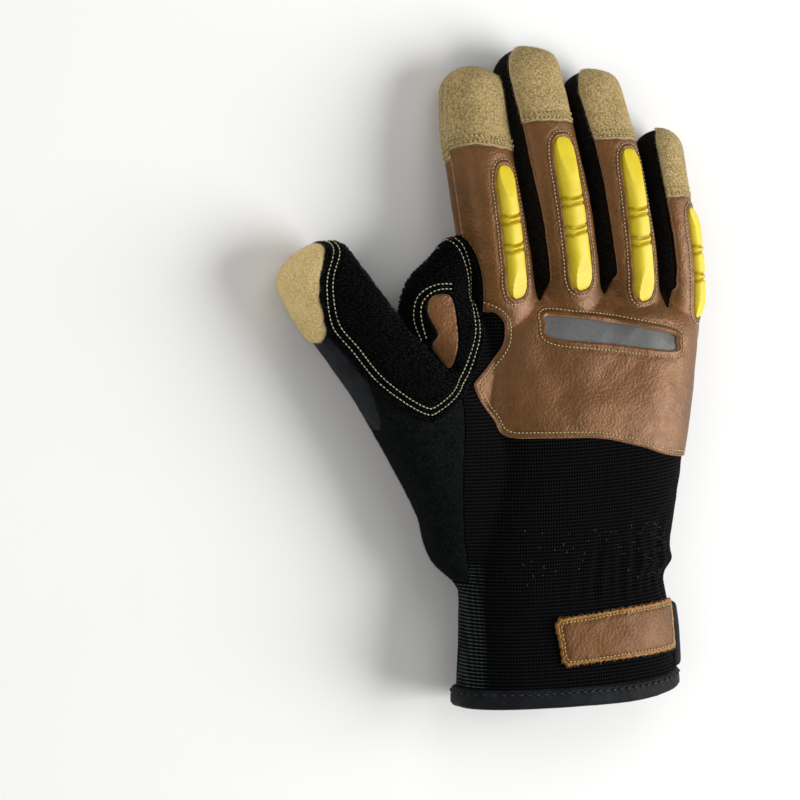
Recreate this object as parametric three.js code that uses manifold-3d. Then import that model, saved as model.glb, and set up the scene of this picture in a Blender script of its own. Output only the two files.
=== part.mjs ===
// A right-hand impact work glove that lies palm down, in millimetres.
// +Y runs from the hem to the fingertips, +X to the little finger, +Z from the palm to the back of the hand.
import * as THREE from "three";
import { mergeVertices } from "three/addons/utils/BufferGeometryUtils.js";
import Module from "manifold-3d";

const wasm = await Module();
wasm.setup();

// Walls. An inset is measured inwards from the glove's own surface, so a negative one stands proud of it.
const GAP = 0.3;
const LEATHER = { outer: 0, inner: 2 };
const SUEDE = { outer: -0.6, inner: 2 };
const KNIT = { outer: 0.4, inner: 2 };
const TAPE = { outer: -0.2, inner: 1.6 };
const PATCH = { outer: -2, inner: 0.1 };
const BINDING = { outer: -2, inner: 3.2 };
const BINDING_SLOT = { outer: 0.1, inner: 2.3 };
const PIPING = { outer: -2.4, inner: 2 };

// The surface that the soft underside is flattened on: higher under the cuff, where the tabs lie beneath it.
const CUFF_FLOOR = 4.3;
const PALM_FLOOR = 2;
const CUFF_FLOOR_END = 40;
const PALM_FLOOR_START = 70;

// The hem rises towards the little finger's side, less and less up to the wrist.
const HEM_RISE = 4.5;
const HEM_RISE_END = 60;

const LIMB_SIDES = 10;
const THUMB_SIDES = 12;
const HAND_SIDES = 16;
const SQUARENESS = 2.5;

// Sections from the base to the tip: middle of the section, half width, half thickness, and the roll in
// degrees that turns the back of the section towards the little finger.
const HAND = {
  sides: HAND_SIDES,
  tip: 0,
  rows: [
    { y: 4, x: 19.4, z: 23.5, wide: 46.4, high: 20.5, roll: 0 },
    { y: 26, x: 19.8, z: 23.1, wide: 44.9, high: 20.2, roll: 0 },
    { y: 48, x: 19.2, z: 22, wide: 43.4, high: 19.5, roll: 0 },
    { y: 68, x: 20.2, z: 21.5, wide: 45.1, high: 20.6, roll: 0 },
    { y: 98, x: 23.6, z: 21.2, wide: 46.6, high: 20.6, roll: 0 },
    { y: 128, x: 26.9, z: 19.8, wide: 48.6, high: 19, roll: 0 },
    { y: 150, x: 28.2, z: 18.6, wide: 48, high: 15.5, roll: 0 },
    { y: 162, x: 23.5, z: 18.5, wide: 38.5, high: 7.5, roll: 0 },
  ],
};
const INDEX = {
  name: "index",
  sides: LIMB_SIDES,
  tip: 11.5,
  rows: [
    { y: 150, x: -6.4, z: 19.3, wide: 13.2, high: 11, roll: 9 },
    { y: 180, x: -11.9, z: 21.9, wide: 13.1, high: 10.9, roll: 15 },
    { y: 212, x: -15.7, z: 18.6, wide: 13, high: 10.6, roll: 15 },
    { y: 238, x: -15.8, z: 12.4, wide: 12.2, high: 10.2, roll: 15 },
  ],
};
const MIDDLE = {
  name: "middle",
  sides: LIMB_SIDES,
  tip: 11.5,
  rows: [
    { y: 150, x: 22, z: 19.4, wide: 12.6, high: 11, roll: 7 },
    { y: 182, x: 16.1, z: 23.2, wide: 12.7, high: 11, roll: 12 },
    { y: 214, x: 11.1, z: 20.1, wide: 12.7, high: 10.8, roll: 12 },
    { y: 244.5, x: 7, z: 12.8, wide: 12.9, high: 10.8, roll: 12 },
  ],
};
const RING = {
  name: "ring",
  sides: LIMB_SIDES,
  tip: 10.5,
  rows: [
    { y: 150, x: 48.6, z: 19.2, wide: 11.9, high: 10.6, roll: 8 },
    { y: 176, x: 44.7, z: 22.1, wide: 12, high: 10.6, roll: 12 },
    { y: 206, x: 40.5, z: 19.8, wide: 12, high: 10.4, roll: 12 },
    { y: 235.5, x: 35.8, z: 12.2, wide: 11.8, high: 10, roll: 12 },
  ],
};
const PINKY = {
  name: "pinky",
  sides: LIMB_SIDES,
  tip: 9,
  rows: [
    { y: 126, x: 65, z: 18, wide: 8.5, high: 8.5, roll: 20 },
    { y: 146, x: 69.3, z: 17.4, wide: 9.7, high: 9.2, roll: 30 },
    { y: 168, x: 69.3, z: 17.7, wide: 10, high: 9.3, roll: 38 },
    { y: 192, x: 67.7, z: 15.2, wide: 9.8, high: 9.1, roll: 34 },
    { y: 212.5, x: 66.6, z: 11.2, wide: 9.4, high: 8.7, roll: 32 },
  ],
};
const THUMB = {
  name: "thumb",
  sides: THUMB_SIDES,
  tip: 10.5,
  rows: [
    { y: 56, x: 0, z: 21.5, wide: 26, high: 10, roll: 0 },
    { y: 66, x: -6, z: 21.5, wide: 26.8, high: 11.5, roll: 0 },
    { y: 77, x: -13, z: 21.6, wide: 28.3, high: 13.2, roll: 0 },
    { y: 90, x: -21, z: 21.8, wide: 27.2, high: 14.8, roll: 0 },
    { y: 110, x: -37, z: 22.2, wide: 21.4, high: 16.5, roll: 0 },
    { y: 130, x: -54, z: 21.8, wide: 17.2, high: 15.8, roll: 0 },
    { y: 152, x: -72, z: 19.9, wide: 16, high: 14.8, roll: 0 },
    { y: 173, x: -86, z: 16, wide: 15.7, high: 13.3, roll: 0 },
  ],
};
const WEB = {
  name: "web",
  sides: LIMB_SIDES,
  tip: 3,
  rows: [
    { y: 117, x: -22, z: 21, wide: 15, high: 9, roll: 0 },
    { y: 138, x: -32, z: 21.5, wide: 18.6, high: 11.5, roll: 0 },
    { y: 160, x: -36, z: 21.5, wide: 14, high: 8, roll: 0 },
    { y: 180, x: -27.5, z: 21.5, wide: 5.2, high: 5, roll: 0 },
  ],
};
const FINGERS = [INDEX, MIDDLE, RING, PINKY];
const LIMBS = [HAND, ...FINGERS, THUMB, WEB];

// How each finger is divided, in its own sections: where the seam between back and palm begins and how high
// it runs, where the back and palm caps begin, how far sideways the leather strips reach before the knit side
// walls (null where there is no wall), and the bumper: its ends, how far across it lies at each end, and its
// half width.
Object.assign(INDEX, {
  base: 162, capBack: 215.5, capPalm: 212.5, left: null, right: 12, seam: -2,
  bumper: { from: 161.5, to: 209, acrossFrom: 0.7, acrossTo: 3, wide: 4.1 },
});
Object.assign(MIDDLE, {
  base: 157, capBack: 224.5, capPalm: 221.5, left: 11, right: 12, seam: 0,
  bumper: { from: 164, to: 218.2, acrossFrom: -0.3, acrossTo: 1.7, wide: 4.6 },
});
Object.assign(RING, {
  base: 157, capBack: 216.8, capPalm: 214.5, left: 10, right: 11, seam: 0,
  bumper: { from: 158.5, to: 212.7, acrossFrom: 0.7, acrossTo: 3.6, wide: 4.2 },
});
Object.assign(PINKY, {
  base: 149, capBack: 194.3, capPalm: 192, left: 8.6, right: null, seam: -1,
  bumper: { from: 149.5, to: 189.8, acrossFrom: 3, acrossTo: 3, wide: 3.8 },
});

// The bumper's outline and height along its length, from the knuckle end: two grooved bands between three
// blocks.
const BUMPER_HEIGHT = 3;
const BUMPER_ROWS = [
  { share: 0, wide: 0.4, high: 0.3, edge: true },
  { share: 0.07, wide: 0.85, high: 0.6, edge: true },
  { share: 0.18, wide: 1, high: 0.95, edge: true },
  { share: 0.36, wide: 1, high: 1 },
  { share: 0.38, wide: 0.9, high: 0.6 },
  { share: 0.4075, wide: 0.97, high: 0.95 },
  { share: 0.435, wide: 0.9, high: 0.6 },
  { share: 0.455, wide: 1, high: 1 },
  { share: 0.55, wide: 1, high: 1, edge: true },
  { share: 0.57, wide: 0.9, high: 0.6 },
  { share: 0.5975, wide: 0.97, high: 0.95 },
  { share: 0.625, wide: 0.9, high: 0.6 },
  { share: 0.645, wide: 1, high: 1 },
  { share: 0.82, wide: 1, high: 0.95, edge: true },
  { share: 1, wide: 0.35, high: 0.25, edge: true },
];
const BUMPER_TOP_SHARE = 0.55;
const BUMPER_SHOULDER = 0.5;
const WINDOW_LOW = 1;

// The knit crotches between the fingers: where each begins, from the hem, and its length.
const CROTCH_ENDS = [159.8, 161, 151];
const CROTCH_LENGTH = 6;

// Outlines seen from above, in millimetres from the hem's line and the glove's own middle line.
const FAR = 130;
const BEYOND = 260;
const BELOW = -50;
const ABOVE = 100;
const BACK_OUTLINE = [
  [-19.5, 163], [-19, 159.5], [-12.5, 153.5], [-11.2, 147.5], [-13.3, 141.5], [-17.3, 136.7], [-25.5, 129.5],
  [-22.2, 121.5], [-16.7, 114], [-13.5, 109], [0, 107.5], [24, 106.5], [42, 102.5], [66, 96.5], [FAR, 92],
  [FAR, 153], [60, 153], [52, 161.5], [3, 161.5], [3, 163],
];
const TERRY_OUTLINE = [
  [-29, 186], [-25.2, 183], [-22.6, 176.5], [-20, 165], [-19.4, 150], [-23.5, 138], [-28, 129], [-35, 122.5],
  [-43.5, 117.3], [-48.5, 116], [-58, 120.5], [-70, 130], [-80, 142], [-88, 152.5], [-90.3, 165], [-89, 174],
  [-84.5, 183], [-84.5, 192],
];
const WEB_LEATHER_OUTLINE = [
  [-44.5, 161], [-38.2, 164], [-32.5, 160.5], [-31.8, 152], [-32.6, 144.5], [-36.5, 134.5], [-41.5, 143],
  [-40.8, 151],
];
const THUMB_CAP_OUTLINE = [
  [-84.5, 192], [-84.5, 183], [-89, 174], [-90.3, 165], [-88, 152.5], [-83.5, 141], [-FAR, 141], [-FAR, 192],
];
const FABRIC_OUTLINE = [
  [-25.2, 52], [-27.5, 60], [-30, 69], [-32, 85], [-33, 100], [-32.3, 118], [-32.3, 200], [-FAR, 200],
  [-FAR, 52],
];
const PALM_OUTLINE = [
  [FAR, 53], [58, 53.5], [44, 54.7], [29, 60], [20, 67], [10.7, 69.5], [-0.4, 67.5], [-14, 63], [-29, 60],
  [-40, 62], [-FAR, 66], [-FAR, BEYOND], [FAR, BEYOND],
];
const STRIP_OUTLINE = [
  [5.8, 150.4], [8.2, 153.3], [33, 150], [60.2, 144.3], [62.3, 141.2], [60, 138.2], [32, 142.1], [7.6, 145.4],
];
const STRAP_OUTLINE = [
  [4.5, 36], [6, 38], [33.5, 40.4], [70, 42], [70, 22.6], [32.6, 21.2], [8.6, 19.8], [7, 21.5],
];
const WRIST_TAB_OUTLINE = [
  [31.5, 12.2], [31.8, 56], [20, 65.2], [10.7, 68], [-0.4, 66], [-14, 61.5], [-8.5, 38], [-3.5, 12.2],
];
// Heights at which the palm side ends: under the terry, along the side of the hand, and at the cuff's slit.
const TERRY_BOTTOM = 12;
const FABRIC_BOTTOM = 13;
const HAND_MIDDLE = 21;
const HAND_FRONT_MIDDLE = 14;
const STRAP_BOTTOM = 30.3;
const SLIT = { low: 20, high: 30, from: 15.2, to: 46, side: 45 };
const CUFF_SEAM = -21.8;
const CUFF_TOP = 59.5;
const CUFF_OVERLAP = 1;
const GORE_SIDE = 40;
// The gore's outline seen from the little finger's side: place from the hem and height.
const GORE_OUTLINE = [
  [46, 9], [100, 9], [146, 11], [146, 12.5], [100, 22], [46, 22],
];
const BINDING_TOP = 11.5;
const BINDING_SLOT_BOTTOM = 5.2;
const KNIT_BOTTOM = 5.6;
const REACH = 15;
const EDGE_REACH = 1.2;
const WALL_DEPTH = 3;
const TIP_REACH = 5;

const HANG_TAB = {
  x: 14, base: 5, wide: 31, straight: 15, corner: 12, thick: 2, hole: 2.75, holeAt: 22, steps: 6,
};

const MOUTH_REACH = 4;
const TIP_STEPS = 3;
const TIP_ROUNDING = 0.8;
// Half of the length over which a limb's direction is taken, and how near two points are to be one.
const DIRECTION_STEP = 1;
const SAME_POINT = 1e-4;

function mix(a, b, share) {
  return a + (b - a) * share;
}

// A value of the rows at a height y, on a smooth curve through them.
function along(rows, key, y) {
  const last = rows.length - 1;
  let at = 0;
  while (at < last - 1 && y > rows[at + 1].y) at += 1;
  const [before, from, to, after] = [-1, 0, 1, 2].map((step) => rows[Math.min(Math.max(at + step, 0), last)]);
  const span = to.y - from.y;
  const share = Math.min(Math.max((y - from.y) / span, 0), 1);
  const slopeFrom = ((to[key] - before[key]) / (to.y - before.y)) * span;
  const slopeTo = ((after[key] - from[key]) / (after.y - from.y)) * span;
  const cubic = share * share * (3 - 2 * share);
  return (
    mix(from[key], to[key], cubic) +
    share * (1 - share) * (1 - share) * slopeFrom -
    share * share * (1 - share) * slopeTo
  );
}

// The section of a limb at a height y: its middle, its sideways, upward and forward directions and its sizes.
function frameAt(limb, y) {
  const { rows } = limb;
  const point = (at) => new THREE.Vector3(along(rows, "x", at), at, along(rows, "z", at));
  const low = Math.max(y - DIRECTION_STEP, rows[0].y);
  const high = Math.min(y + DIRECTION_STEP, rows[rows.length - 1].y);
  const forward = limb === HAND ? new THREE.Vector3(0, 1, 0) : point(high).sub(point(low)).normalize();
  const roll = THREE.MathUtils.degToRad(along(rows, "roll", y));
  const side = new THREE.Vector3().crossVectors(forward, new THREE.Vector3(0, 0, 1)).normalize();
  side.applyAxisAngle(forward, roll);
  const up = new THREE.Vector3().crossVectors(side, forward);
  return { middle: point(y), side, up, forward, wide: along(rows, "wide", y), high: along(rows, "high", y) };
}

function place(frame, across, up, ahead = 0) {
  return frame.middle
    .clone()
    .addScaledVector(frame.side, across)
    .addScaledVector(frame.up, up)
    .addScaledVector(frame.forward, ahead);
}

function asSolid(geometry) {
  geometry.deleteAttribute("normal");
  geometry.deleteAttribute("uv");
  const merged = mergeVertices(geometry, SAME_POINT);
  return new wasm.Manifold(
    new wasm.Mesh({
      numProp: 3,
      vertProperties: merged.attributes.position.array,
      triVerts: new Uint32Array(merged.index.array),
    }),
  );
}

// A closed solid skinned over rings that run from the base forwards, each turning from its side to its top.
function skin(rings) {
  const sides = rings[0].length;
  const points = rings.flat();
  const middles = [rings[0], rings[rings.length - 1]].map((ring) =>
    ring.reduce((sum, point) => sum.add(point), new THREE.Vector3()).divideScalar(sides),
  );
  const first = points.length;
  const faces = [];
  for (let k = 0; k < sides; k += 1) {
    const next = (k + 1) % sides;
    for (let i = 0; i + 1 < rings.length; i += 1) {
      const [a, b, c, d] = [i * sides + k, i * sides + next, (i + 1) * sides + k, (i + 1) * sides + next];
      faces.push(a, c, b, b, c, d);
    }
    const end = (rings.length - 1) * sides;
    faces.push(first, k, next, first + 1, end + next, end + k);
  }
  const geometry = new THREE.BufferGeometry().setFromPoints([...points, ...middles]);
  geometry.setIndex(faces);
  return asSolid(geometry);
}

function floorAt(y) {
  const share = THREE.MathUtils.smoothstep(y, CUFF_FLOOR_END, PALM_FLOOR_START);
  return mix(CUFF_FLOOR, PALM_FLOOR, share);
}

// One ring of a limb's surface, a squared ellipse, smaller by the inset and flattened where the glove lies.
function ring(limb, y, inset, ahead = 0, scale = 1) {
  const frame = frameAt(limb, y);
  const wide = (frame.wide - inset) * scale;
  const high = (frame.high - inset) * scale;
  const power = 2 / SQUARENESS;
  return Array.from({ length: limb.sides }, (_, k) => {
    const angle = (2 * Math.PI * k) / limb.sides;
    const [cosine, sine] = [Math.cos(angle), Math.sin(angle)];
    const across = Math.sign(cosine) * Math.abs(cosine) ** power;
    const point = place(frame, wide * across, high * Math.sign(sine) * Math.abs(sine) ** power, ahead);
    if (limb === HAND) {
      const fade = Math.max(1 - y / HEM_RISE_END, 0);
      point.y += HEM_RISE * Math.max(across, 0) ** 3 * fade;
    }
    point.z = Math.max(point.z, floorAt(point.y) + inset);
    return point;
  });
}

function limbSolid(limb, inset) {
  const rings = limb.rows.map((row) => ring(limb, row.y, inset));
  const end = limb.rows[limb.rows.length - 1].y;
  const length = limb.tip - inset;
  if (limb === HAND) {
    const mouth = inset > LEATHER.outer ? MOUTH_REACH : 0;
    rings[0].forEach((point) => point.setY(point.y - mouth));
    rings[rings.length - 1].forEach((point) => point.setY(point.y - inset));
  }
  for (let step = 1; limb.tip && step < TIP_STEPS; step += 1) {
    const angle = (step / TIP_STEPS) * (Math.PI / 2);
    rings.push(ring(limb, end, inset, length * Math.sin(angle), Math.cos(angle) ** TIP_ROUNDING));
  }
  return skin(rings);
}

const bodies = new Map();
function body(inset) {
  if (!bodies.has(inset)) {
    const solids = LIMBS.map((limb) => limbSolid(limb, inset));
    bodies.set(inset, solids.reduce((sum, solid) => sum.add(solid)));
  }
  return bodies.get(inset);
}

// A flat outline moved outwards by a distance, each corner on its bisector.
function grownOutline(outline, grow) {
  const points = outline.map(([x, y]) => new THREE.Vector2(x, y));
  const turn = THREE.ShapeUtils.isClockWise(points) ? -1 : 1;
  return points.map((point, i) => {
    const before = points[(i + points.length - 1) % points.length];
    const after = points[(i + 1) % points.length];
    const into = point.clone().sub(before).normalize();
    const out = after.clone().sub(point).normalize();
    const normalIn = new THREE.Vector2(into.y, -into.x).multiplyScalar(turn);
    const normalOut = new THREE.Vector2(out.y, -out.x).multiplyScalar(turn);
    const middle = normalIn.clone().add(normalOut);
    return point.clone().addScaledVector(middle, (2 * grow) / Math.max(middle.lengthSq(), 1));
  });
}

function prism(outline, low, high, grow = 0) {
  const shape = new THREE.Shape(grownOutline(outline, grow));
  const geometry = new THREE.ExtrudeGeometry(shape, { depth: high - low + 2 * grow, bevelEnabled: false });
  return asSolid(geometry.translate(0, 0, low - grow));
}

// A prism whose outline is seen from the side, as places along Y and heights, from one X to another.
function sidePrism(outline, from, to, grow = 0) {
  const shape = new THREE.Shape(grownOutline(outline, grow));
  const geometry = new THREE.ExtrudeGeometry(shape, { depth: to - from, bevelEnabled: false });
  const axes = new THREE.Matrix4().makeBasis(
    new THREE.Vector3(0, 1, 0),
    new THREE.Vector3(0, 0, 1),
    new THREE.Vector3(1, 0, 0),
  );
  return asSolid(geometry.applyMatrix4(axes).translate(from, 0, 0));
}

function boxed(low, high, grow = 0) {
  const outline = [[low.x, low.y], [high.x, low.y], [high.x, high.y], [low.x, high.y]];
  return prism(outline, low.z, high.z, grow);
}

function joined(solids) {
  return solids.reduce((sum, solid) => sum.add(solid));
}

// A bar that follows a limb, given by its bounds in the limb's sections and by where it begins and ends.
function bar(limb, from, to, bounds, grow = 0) {
  const end = limb.rows[limb.rows.length - 1].y;
  const heights = limb.rows.map((row) => row.y).filter((y) => y > from - grow && y < Math.min(to, end));
  const corners = (y, ahead = 0) => {
    const frame = frameAt(limb, y);
    const [low, high] = [bounds.low - grow, bounds.high + grow];
    const [left, right] = [bounds.left - grow, bounds.right + grow];
    const around = [[right, low], [right, high], [left, high], [left, low]];
    return around.map(([u, v]) => place(frame, u, v, ahead));
  };
  const rings = [corners(from - grow), ...heights.map((y) => corners(y))];
  rings.push(to < end ? corners(to + grow) : corners(end, limb.tip + TIP_REACH));
  return skin(rings);
}

function layer(wall) {
  return body(wall.outer).subtract(body(wall.inner));
}

function surfaceAt(frame, across) {
  const share = Math.min(Math.abs(across) / frame.wide, 1);
  return frame.high * (1 - share ** SQUARENESS) ** (1 / SQUARENESS);
}

function bumperFrames(finger, grow = 0) {
  const { from, to, acrossFrom, acrossTo } = finger.bumper;
  return BUMPER_ROWS.map((row) => {
    const ends = { 0: -grow, 1: grow };
    const y = mix(from, to, row.share) + (ends[row.share] ?? 0);
    return { frame: frameAt(finger, y), row, across: mix(acrossFrom, acrossTo, row.share) };
  });
}

function bumper(finger) {
  return skin(bumperFrames(finger).map(({ frame, row, across }) => {
    const half = finger.bumper.wide * row.wide;
    const top = half * BUMPER_TOP_SHARE;
    const high = BUMPER_HEIGHT * row.high;
    const base = surfaceAt(frame, across + half) - LEATHER.inner;
    return [
      [across + half, base],
      [across + half, surfaceAt(frame, across + half) + high * BUMPER_SHOULDER],
      [across + top, surfaceAt(frame, across + top) + high],
      [across - top, surfaceAt(frame, across - top) + high],
      [across - half, surfaceAt(frame, across - half) + high * BUMPER_SHOULDER],
      [across - half, base],
    ].map(([u, v]) => place(frame, u, v));
  }));
}

function bumperWindow(finger, grow) {
  const outline = bumperFrames(finger, grow).filter(({ row }) => row.edge);
  return skin(outline.map(({ frame, row, across }) => {
    const half = finger.bumper.wide * row.wide + grow;
    const [low, high] = [WINDOW_LOW, finger.rows[0].high + REACH];
    const around = [[half, low], [half, high], [-half, high], [-half, low]];
    return around.map(([u, v]) => place(frame, across + u, v));
  }));
}

function capRegion(finger, from, low, high) {
  return (grow) => bar(finger, from, BEYOND, { left: -REACH, right: REACH, low, high }, grow);
}

// The knit between two fingers: the side walls that face each other, and the crotch that joins them.
function fourchetteRegion(first, second, crotch) {
  return (grow) => {
    const wallOf = (finger, side) => {
      const cut = side > 0 ? finger.right : finger.left;
      const high = surfaceAt(frameAt(finger, finger.capPalm), cut);
      const edge = Math.max(...finger.rows.map((row) => row.wide)) + EDGE_REACH;
      const [left, right] = side > 0 ? [cut - WALL_DEPTH, edge] : [-edge, WALL_DEPTH - cut];
      return bar(finger, crotch, BEYOND, { left, right, low: -high, high }, grow);
    };
    const across = (y) => {
      const [a, b] = [frameAt(first, y), frameAt(second, y)];
      const [left, right, reach] = [first.right - grow, grow - second.left, REACH + grow];
      return [place(b, right, -reach), place(b, right, reach), place(a, left, reach), place(a, left, -reach)];
    };
    const slot = skin([across(crotch - grow), across(crotch + CROTCH_LENGTH + grow)]);
    return joined([wallOf(first, 1), wallOf(second, -1), slot]);
  };
}

function backHalfRegion(finger) {
  const edge = Math.max(...finger.rows.map((row) => row.wide)) + EDGE_REACH;
  const bounds = { left: -edge, right: edge, low: finger.seam, high: REACH };
  return (grow) => bar(finger, finger.base, BEYOND, bounds, grow);
}

// The hem's band up to a height, which follows the hem's rise.
function hemBand(from, to) {
  return skin([ring(HAND, from, -REACH), ring(HAND, to, -REACH)]);
}

const COLOURS = {
  leather: 0x8a5a34, suede: 0xb59a6a, knit: 0x141414, terry: 0x101010, fleece: 0x17181a,
  rubber: 0xf0dc1e, tape: 0x6f7377, binding: 0x34363a, tab: 0x1c1b1a,
};
const ROUGHNESS = {
  leather: 0.55, suede: 0.95, knit: 0.9, terry: 1, fleece: 0.95,
  rubber: 0.45, tape: 0.4, binding: 0.6, tab: 0.95,
};

const glove = new THREE.Group();

function largest(solid) {
  return solid.decompose().reduce((best, one) => (one.volume() > best.volume() ? one : best));
}

function addMesh(name, material, solid) {
  const raw = largest(solid).getMesh();
  const geometry = new THREE.BufferGeometry();
  const positions = new Float32Array(raw.numVert * 3);
  for (let i = 0; i < raw.numVert; i += 1) {
    positions.set(raw.vertProperties.subarray(i * raw.numProp, i * raw.numProp + 3), i * 3);
  }
  geometry.setAttribute("position", new THREE.BufferAttribute(positions, 3));
  geometry.setIndex(new THREE.BufferAttribute(raw.triVerts, 1));
  geometry.computeVertexNormals();
  const look = new THREE.MeshStandardMaterial({ color: COLOURS[material], roughness: ROUGHNESS[material] });
  const mesh = new THREE.Mesh(geometry, look);
  mesh.name = name;
  glove.add(mesh);
}

// Panels are cut from the wall one after another, each leaving a narrow gap to what is cut after it.
let rest = layer({ outer: PIPING.outer, inner: LEATHER.inner });
function cutPanel(name, material, wall, region) {
  const piece = rest.intersect(region(0)).intersect(layer(wall));
  addMesh(name, material, piece);
  rest = rest.subtract(region(GAP));
}

function openWindow(region) {
  rest = rest.subtract(region);
}

function makeBumpers() {
  FINGERS.forEach((finger) => {
    addMesh(`bumper_${finger.name}`, "rubber", bumper(finger));
    openWindow(bumperWindow(finger, GAP));
  });
}

function makeBinding() {
  const band = hemBand(-REACH, BINDING_TOP);
  const slot = layer(BINDING_SLOT).subtract(hemBand(BELOW, BINDING_SLOT_BOTTOM));
  addMesh("cuff_binding", "binding", layer(BINDING).intersect(band).subtract(slot));
  openWindow(hemBand(-REACH, KNIT_BOTTOM));
}

function makeFingers() {
  CROTCH_ENDS.forEach((crotch, i) => {
    const [first, second] = [FINGERS[i], FINGERS[i + 1]];
    const region = fourchetteRegion(first, second, crotch);
    cutPanel(`fourchette_${first.name}_${second.name}`, "knit", KNIT, region);
  });
  FINGERS.forEach((finger) => {
    const back = capRegion(finger, finger.capBack, finger.seam, REACH);
    cutPanel(`${finger.name}_cap_back`, "suede", SUEDE, back);
    const palm = capRegion(finger, finger.capPalm, -REACH, finger.seam);
    cutPanel(`${finger.name}_cap_palm`, "suede", SUEDE, palm);
  });
}

function makeThumb() {
  const cap = (grow) => prism(THUMB_CAP_OUTLINE, BELOW, ABOVE, grow);
  cutPanel("thumb_cap", "suede", SUEDE, cap);
  const teardrop = (grow) => prism(WEB_LEATHER_OUTLINE, HAND_MIDDLE, ABOVE, grow);
  cutPanel("web_leather", "leather", LEATHER, teardrop);
  const terry = (grow) => prism(TERRY_OUTLINE, TERRY_BOTTOM, ABOVE, grow);
  cutPanel("thumb_terry", "terry", SUEDE, terry);
}

function makeHand() {
  cutPanel("reflective_strip", "tape", TAPE, (grow) => prism(STRIP_OUTLINE, HAND_MIDDLE, ABOVE, grow));
  const slit = (grow) => boxed(
    { x: SLIT.side, y: SLIT.from, z: SLIT.low },
    { x: FAR, y: SLIT.to, z: SLIT.high },
    grow,
  );
  cutPanel("slit_binding", "binding", PIPING, slit);
  cutPanel("side_gore", "knit", KNIT, (grow) => sidePrism(GORE_OUTLINE, GORE_SIDE, FAR, grow));
  const back = (grow) => joined([
    prism(BACK_OUTLINE, HAND_FRONT_MIDDLE, ABOVE, grow),
    ...FINGERS.map((finger) => backHalfRegion(finger)(grow)),
  ]);
  cutPanel("back_leather", "leather", LEATHER, back);
  const fabric = (grow) => prism(FABRIC_OUTLINE, FABRIC_BOTTOM, ABOVE, grow);
  cutPanel("thumb_fabric", "fleece", KNIT, fabric);
  const backKnit = (grow) => joined([
    boxed({ x: -FAR, y: CUFF_TOP, z: HAND_MIDDLE }, { x: FAR, y: BEYOND, z: ABOVE }, grow),
    boxed({ x: CUFF_SEAM, y: -FAR, z: HAND_MIDDLE }, { x: FAR, y: CUFF_TOP + CUFF_OVERLAP, z: ABOVE }, grow),
  ]);
  cutPanel("back_knit", "knit", KNIT, backKnit);
  cutPanel("palm_leather", "leather", LEATHER, (grow) => prism(PALM_OUTLINE, BELOW, ABOVE, grow));
  cutPanel("cuff_palm_knit", "knit", KNIT, () => boxed(
    { x: -FAR, y: -FAR, z: BELOW },
    { x: FAR, y: FAR, z: ABOVE },
  ));
}

function makePatches() {
  const patches = layer(PATCH);
  addMesh("wrist_strap", "leather", patches.intersect(prism(STRAP_OUTLINE, STRAP_BOTTOM, ABOVE)));
  addMesh("wrist_leather_tab", "leather", patches.intersect(prism(WRIST_TAB_OUTLINE, BELOW, HAND_MIDDLE)));
}

function makeHangTab() {
  const { x, base, wide, straight, corner, thick, hole, holeAt, steps } = HANG_TAB;
  const shape = new THREE.Shape();
  const [left, right, top] = [x - wide / 2, x + wide / 2, base + straight + corner];
  shape.moveTo(left, base);
  shape.lineTo(right, base);
  shape.lineTo(right, base + straight);
  shape.quadraticCurveTo(right, top, right - corner, top);
  shape.lineTo(left + corner, top);
  shape.quadraticCurveTo(left, top, left, base + straight);
  shape.holes.push(new THREE.Path().absarc(x, holeAt, hole, 0, 2 * Math.PI, true));
  const sizes = { depth: thick, bevelEnabled: false, curveSegments: steps };
  addMesh("hang_tab", "tab", asSolid(new THREE.ExtrudeGeometry(shape, sizes)));
}

makeBumpers();
makeBinding();
makeFingers();
makeThumb();
makeHand();
makePatches();
makeHangTab();

// The origin is below the middle of the glove's box, on the surface that it lies on.
const bounds = new THREE.Box3().setFromObject(glove);
const middle = bounds.getCenter(new THREE.Vector3());
glove.position.set(-middle.x, -middle.y, -bounds.min.z);

export default glove;
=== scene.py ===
import math
from collections import namedtuple

import bmesh
import bpy
import numpy as np
from mathutils import Matrix, Vector
from mathutils.bvhtree import BVHTree


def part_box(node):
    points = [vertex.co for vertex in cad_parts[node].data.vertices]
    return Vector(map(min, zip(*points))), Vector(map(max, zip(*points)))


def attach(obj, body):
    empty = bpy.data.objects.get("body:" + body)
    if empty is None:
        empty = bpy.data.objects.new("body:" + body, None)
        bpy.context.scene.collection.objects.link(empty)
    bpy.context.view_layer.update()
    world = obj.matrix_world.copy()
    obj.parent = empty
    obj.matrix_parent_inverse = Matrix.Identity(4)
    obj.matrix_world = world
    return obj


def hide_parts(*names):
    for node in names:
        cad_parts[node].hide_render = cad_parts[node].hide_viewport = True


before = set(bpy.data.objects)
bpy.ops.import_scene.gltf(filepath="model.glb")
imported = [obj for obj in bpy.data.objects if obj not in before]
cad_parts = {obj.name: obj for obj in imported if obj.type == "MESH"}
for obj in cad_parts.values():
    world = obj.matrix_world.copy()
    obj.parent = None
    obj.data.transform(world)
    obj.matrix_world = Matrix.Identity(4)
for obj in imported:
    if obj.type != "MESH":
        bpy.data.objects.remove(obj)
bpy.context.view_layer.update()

# Lengths below are millimetres in the glove's own drawing: Y from the hem line, X towards the little
# finger, Z up from the surface that it lies on. The hang tab's corner, which is known there, gives the
# shift to the frame.
MM = 0.001
TAB_CORNER = np.array([-1.5, 5.0, 0.0])
SHIFT = np.array(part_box("hang_tab")[0]) / MM - TAB_CORNER

SEED = 7
# How large the skin's triangles are, and how often and how far they are smoothed.
VOXEL = 1.1
SMOOTHING = 6
SMOOTHING_FACTOR = 0.5

Section = namedtuple("Section", "y x z wide high roll")

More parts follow.
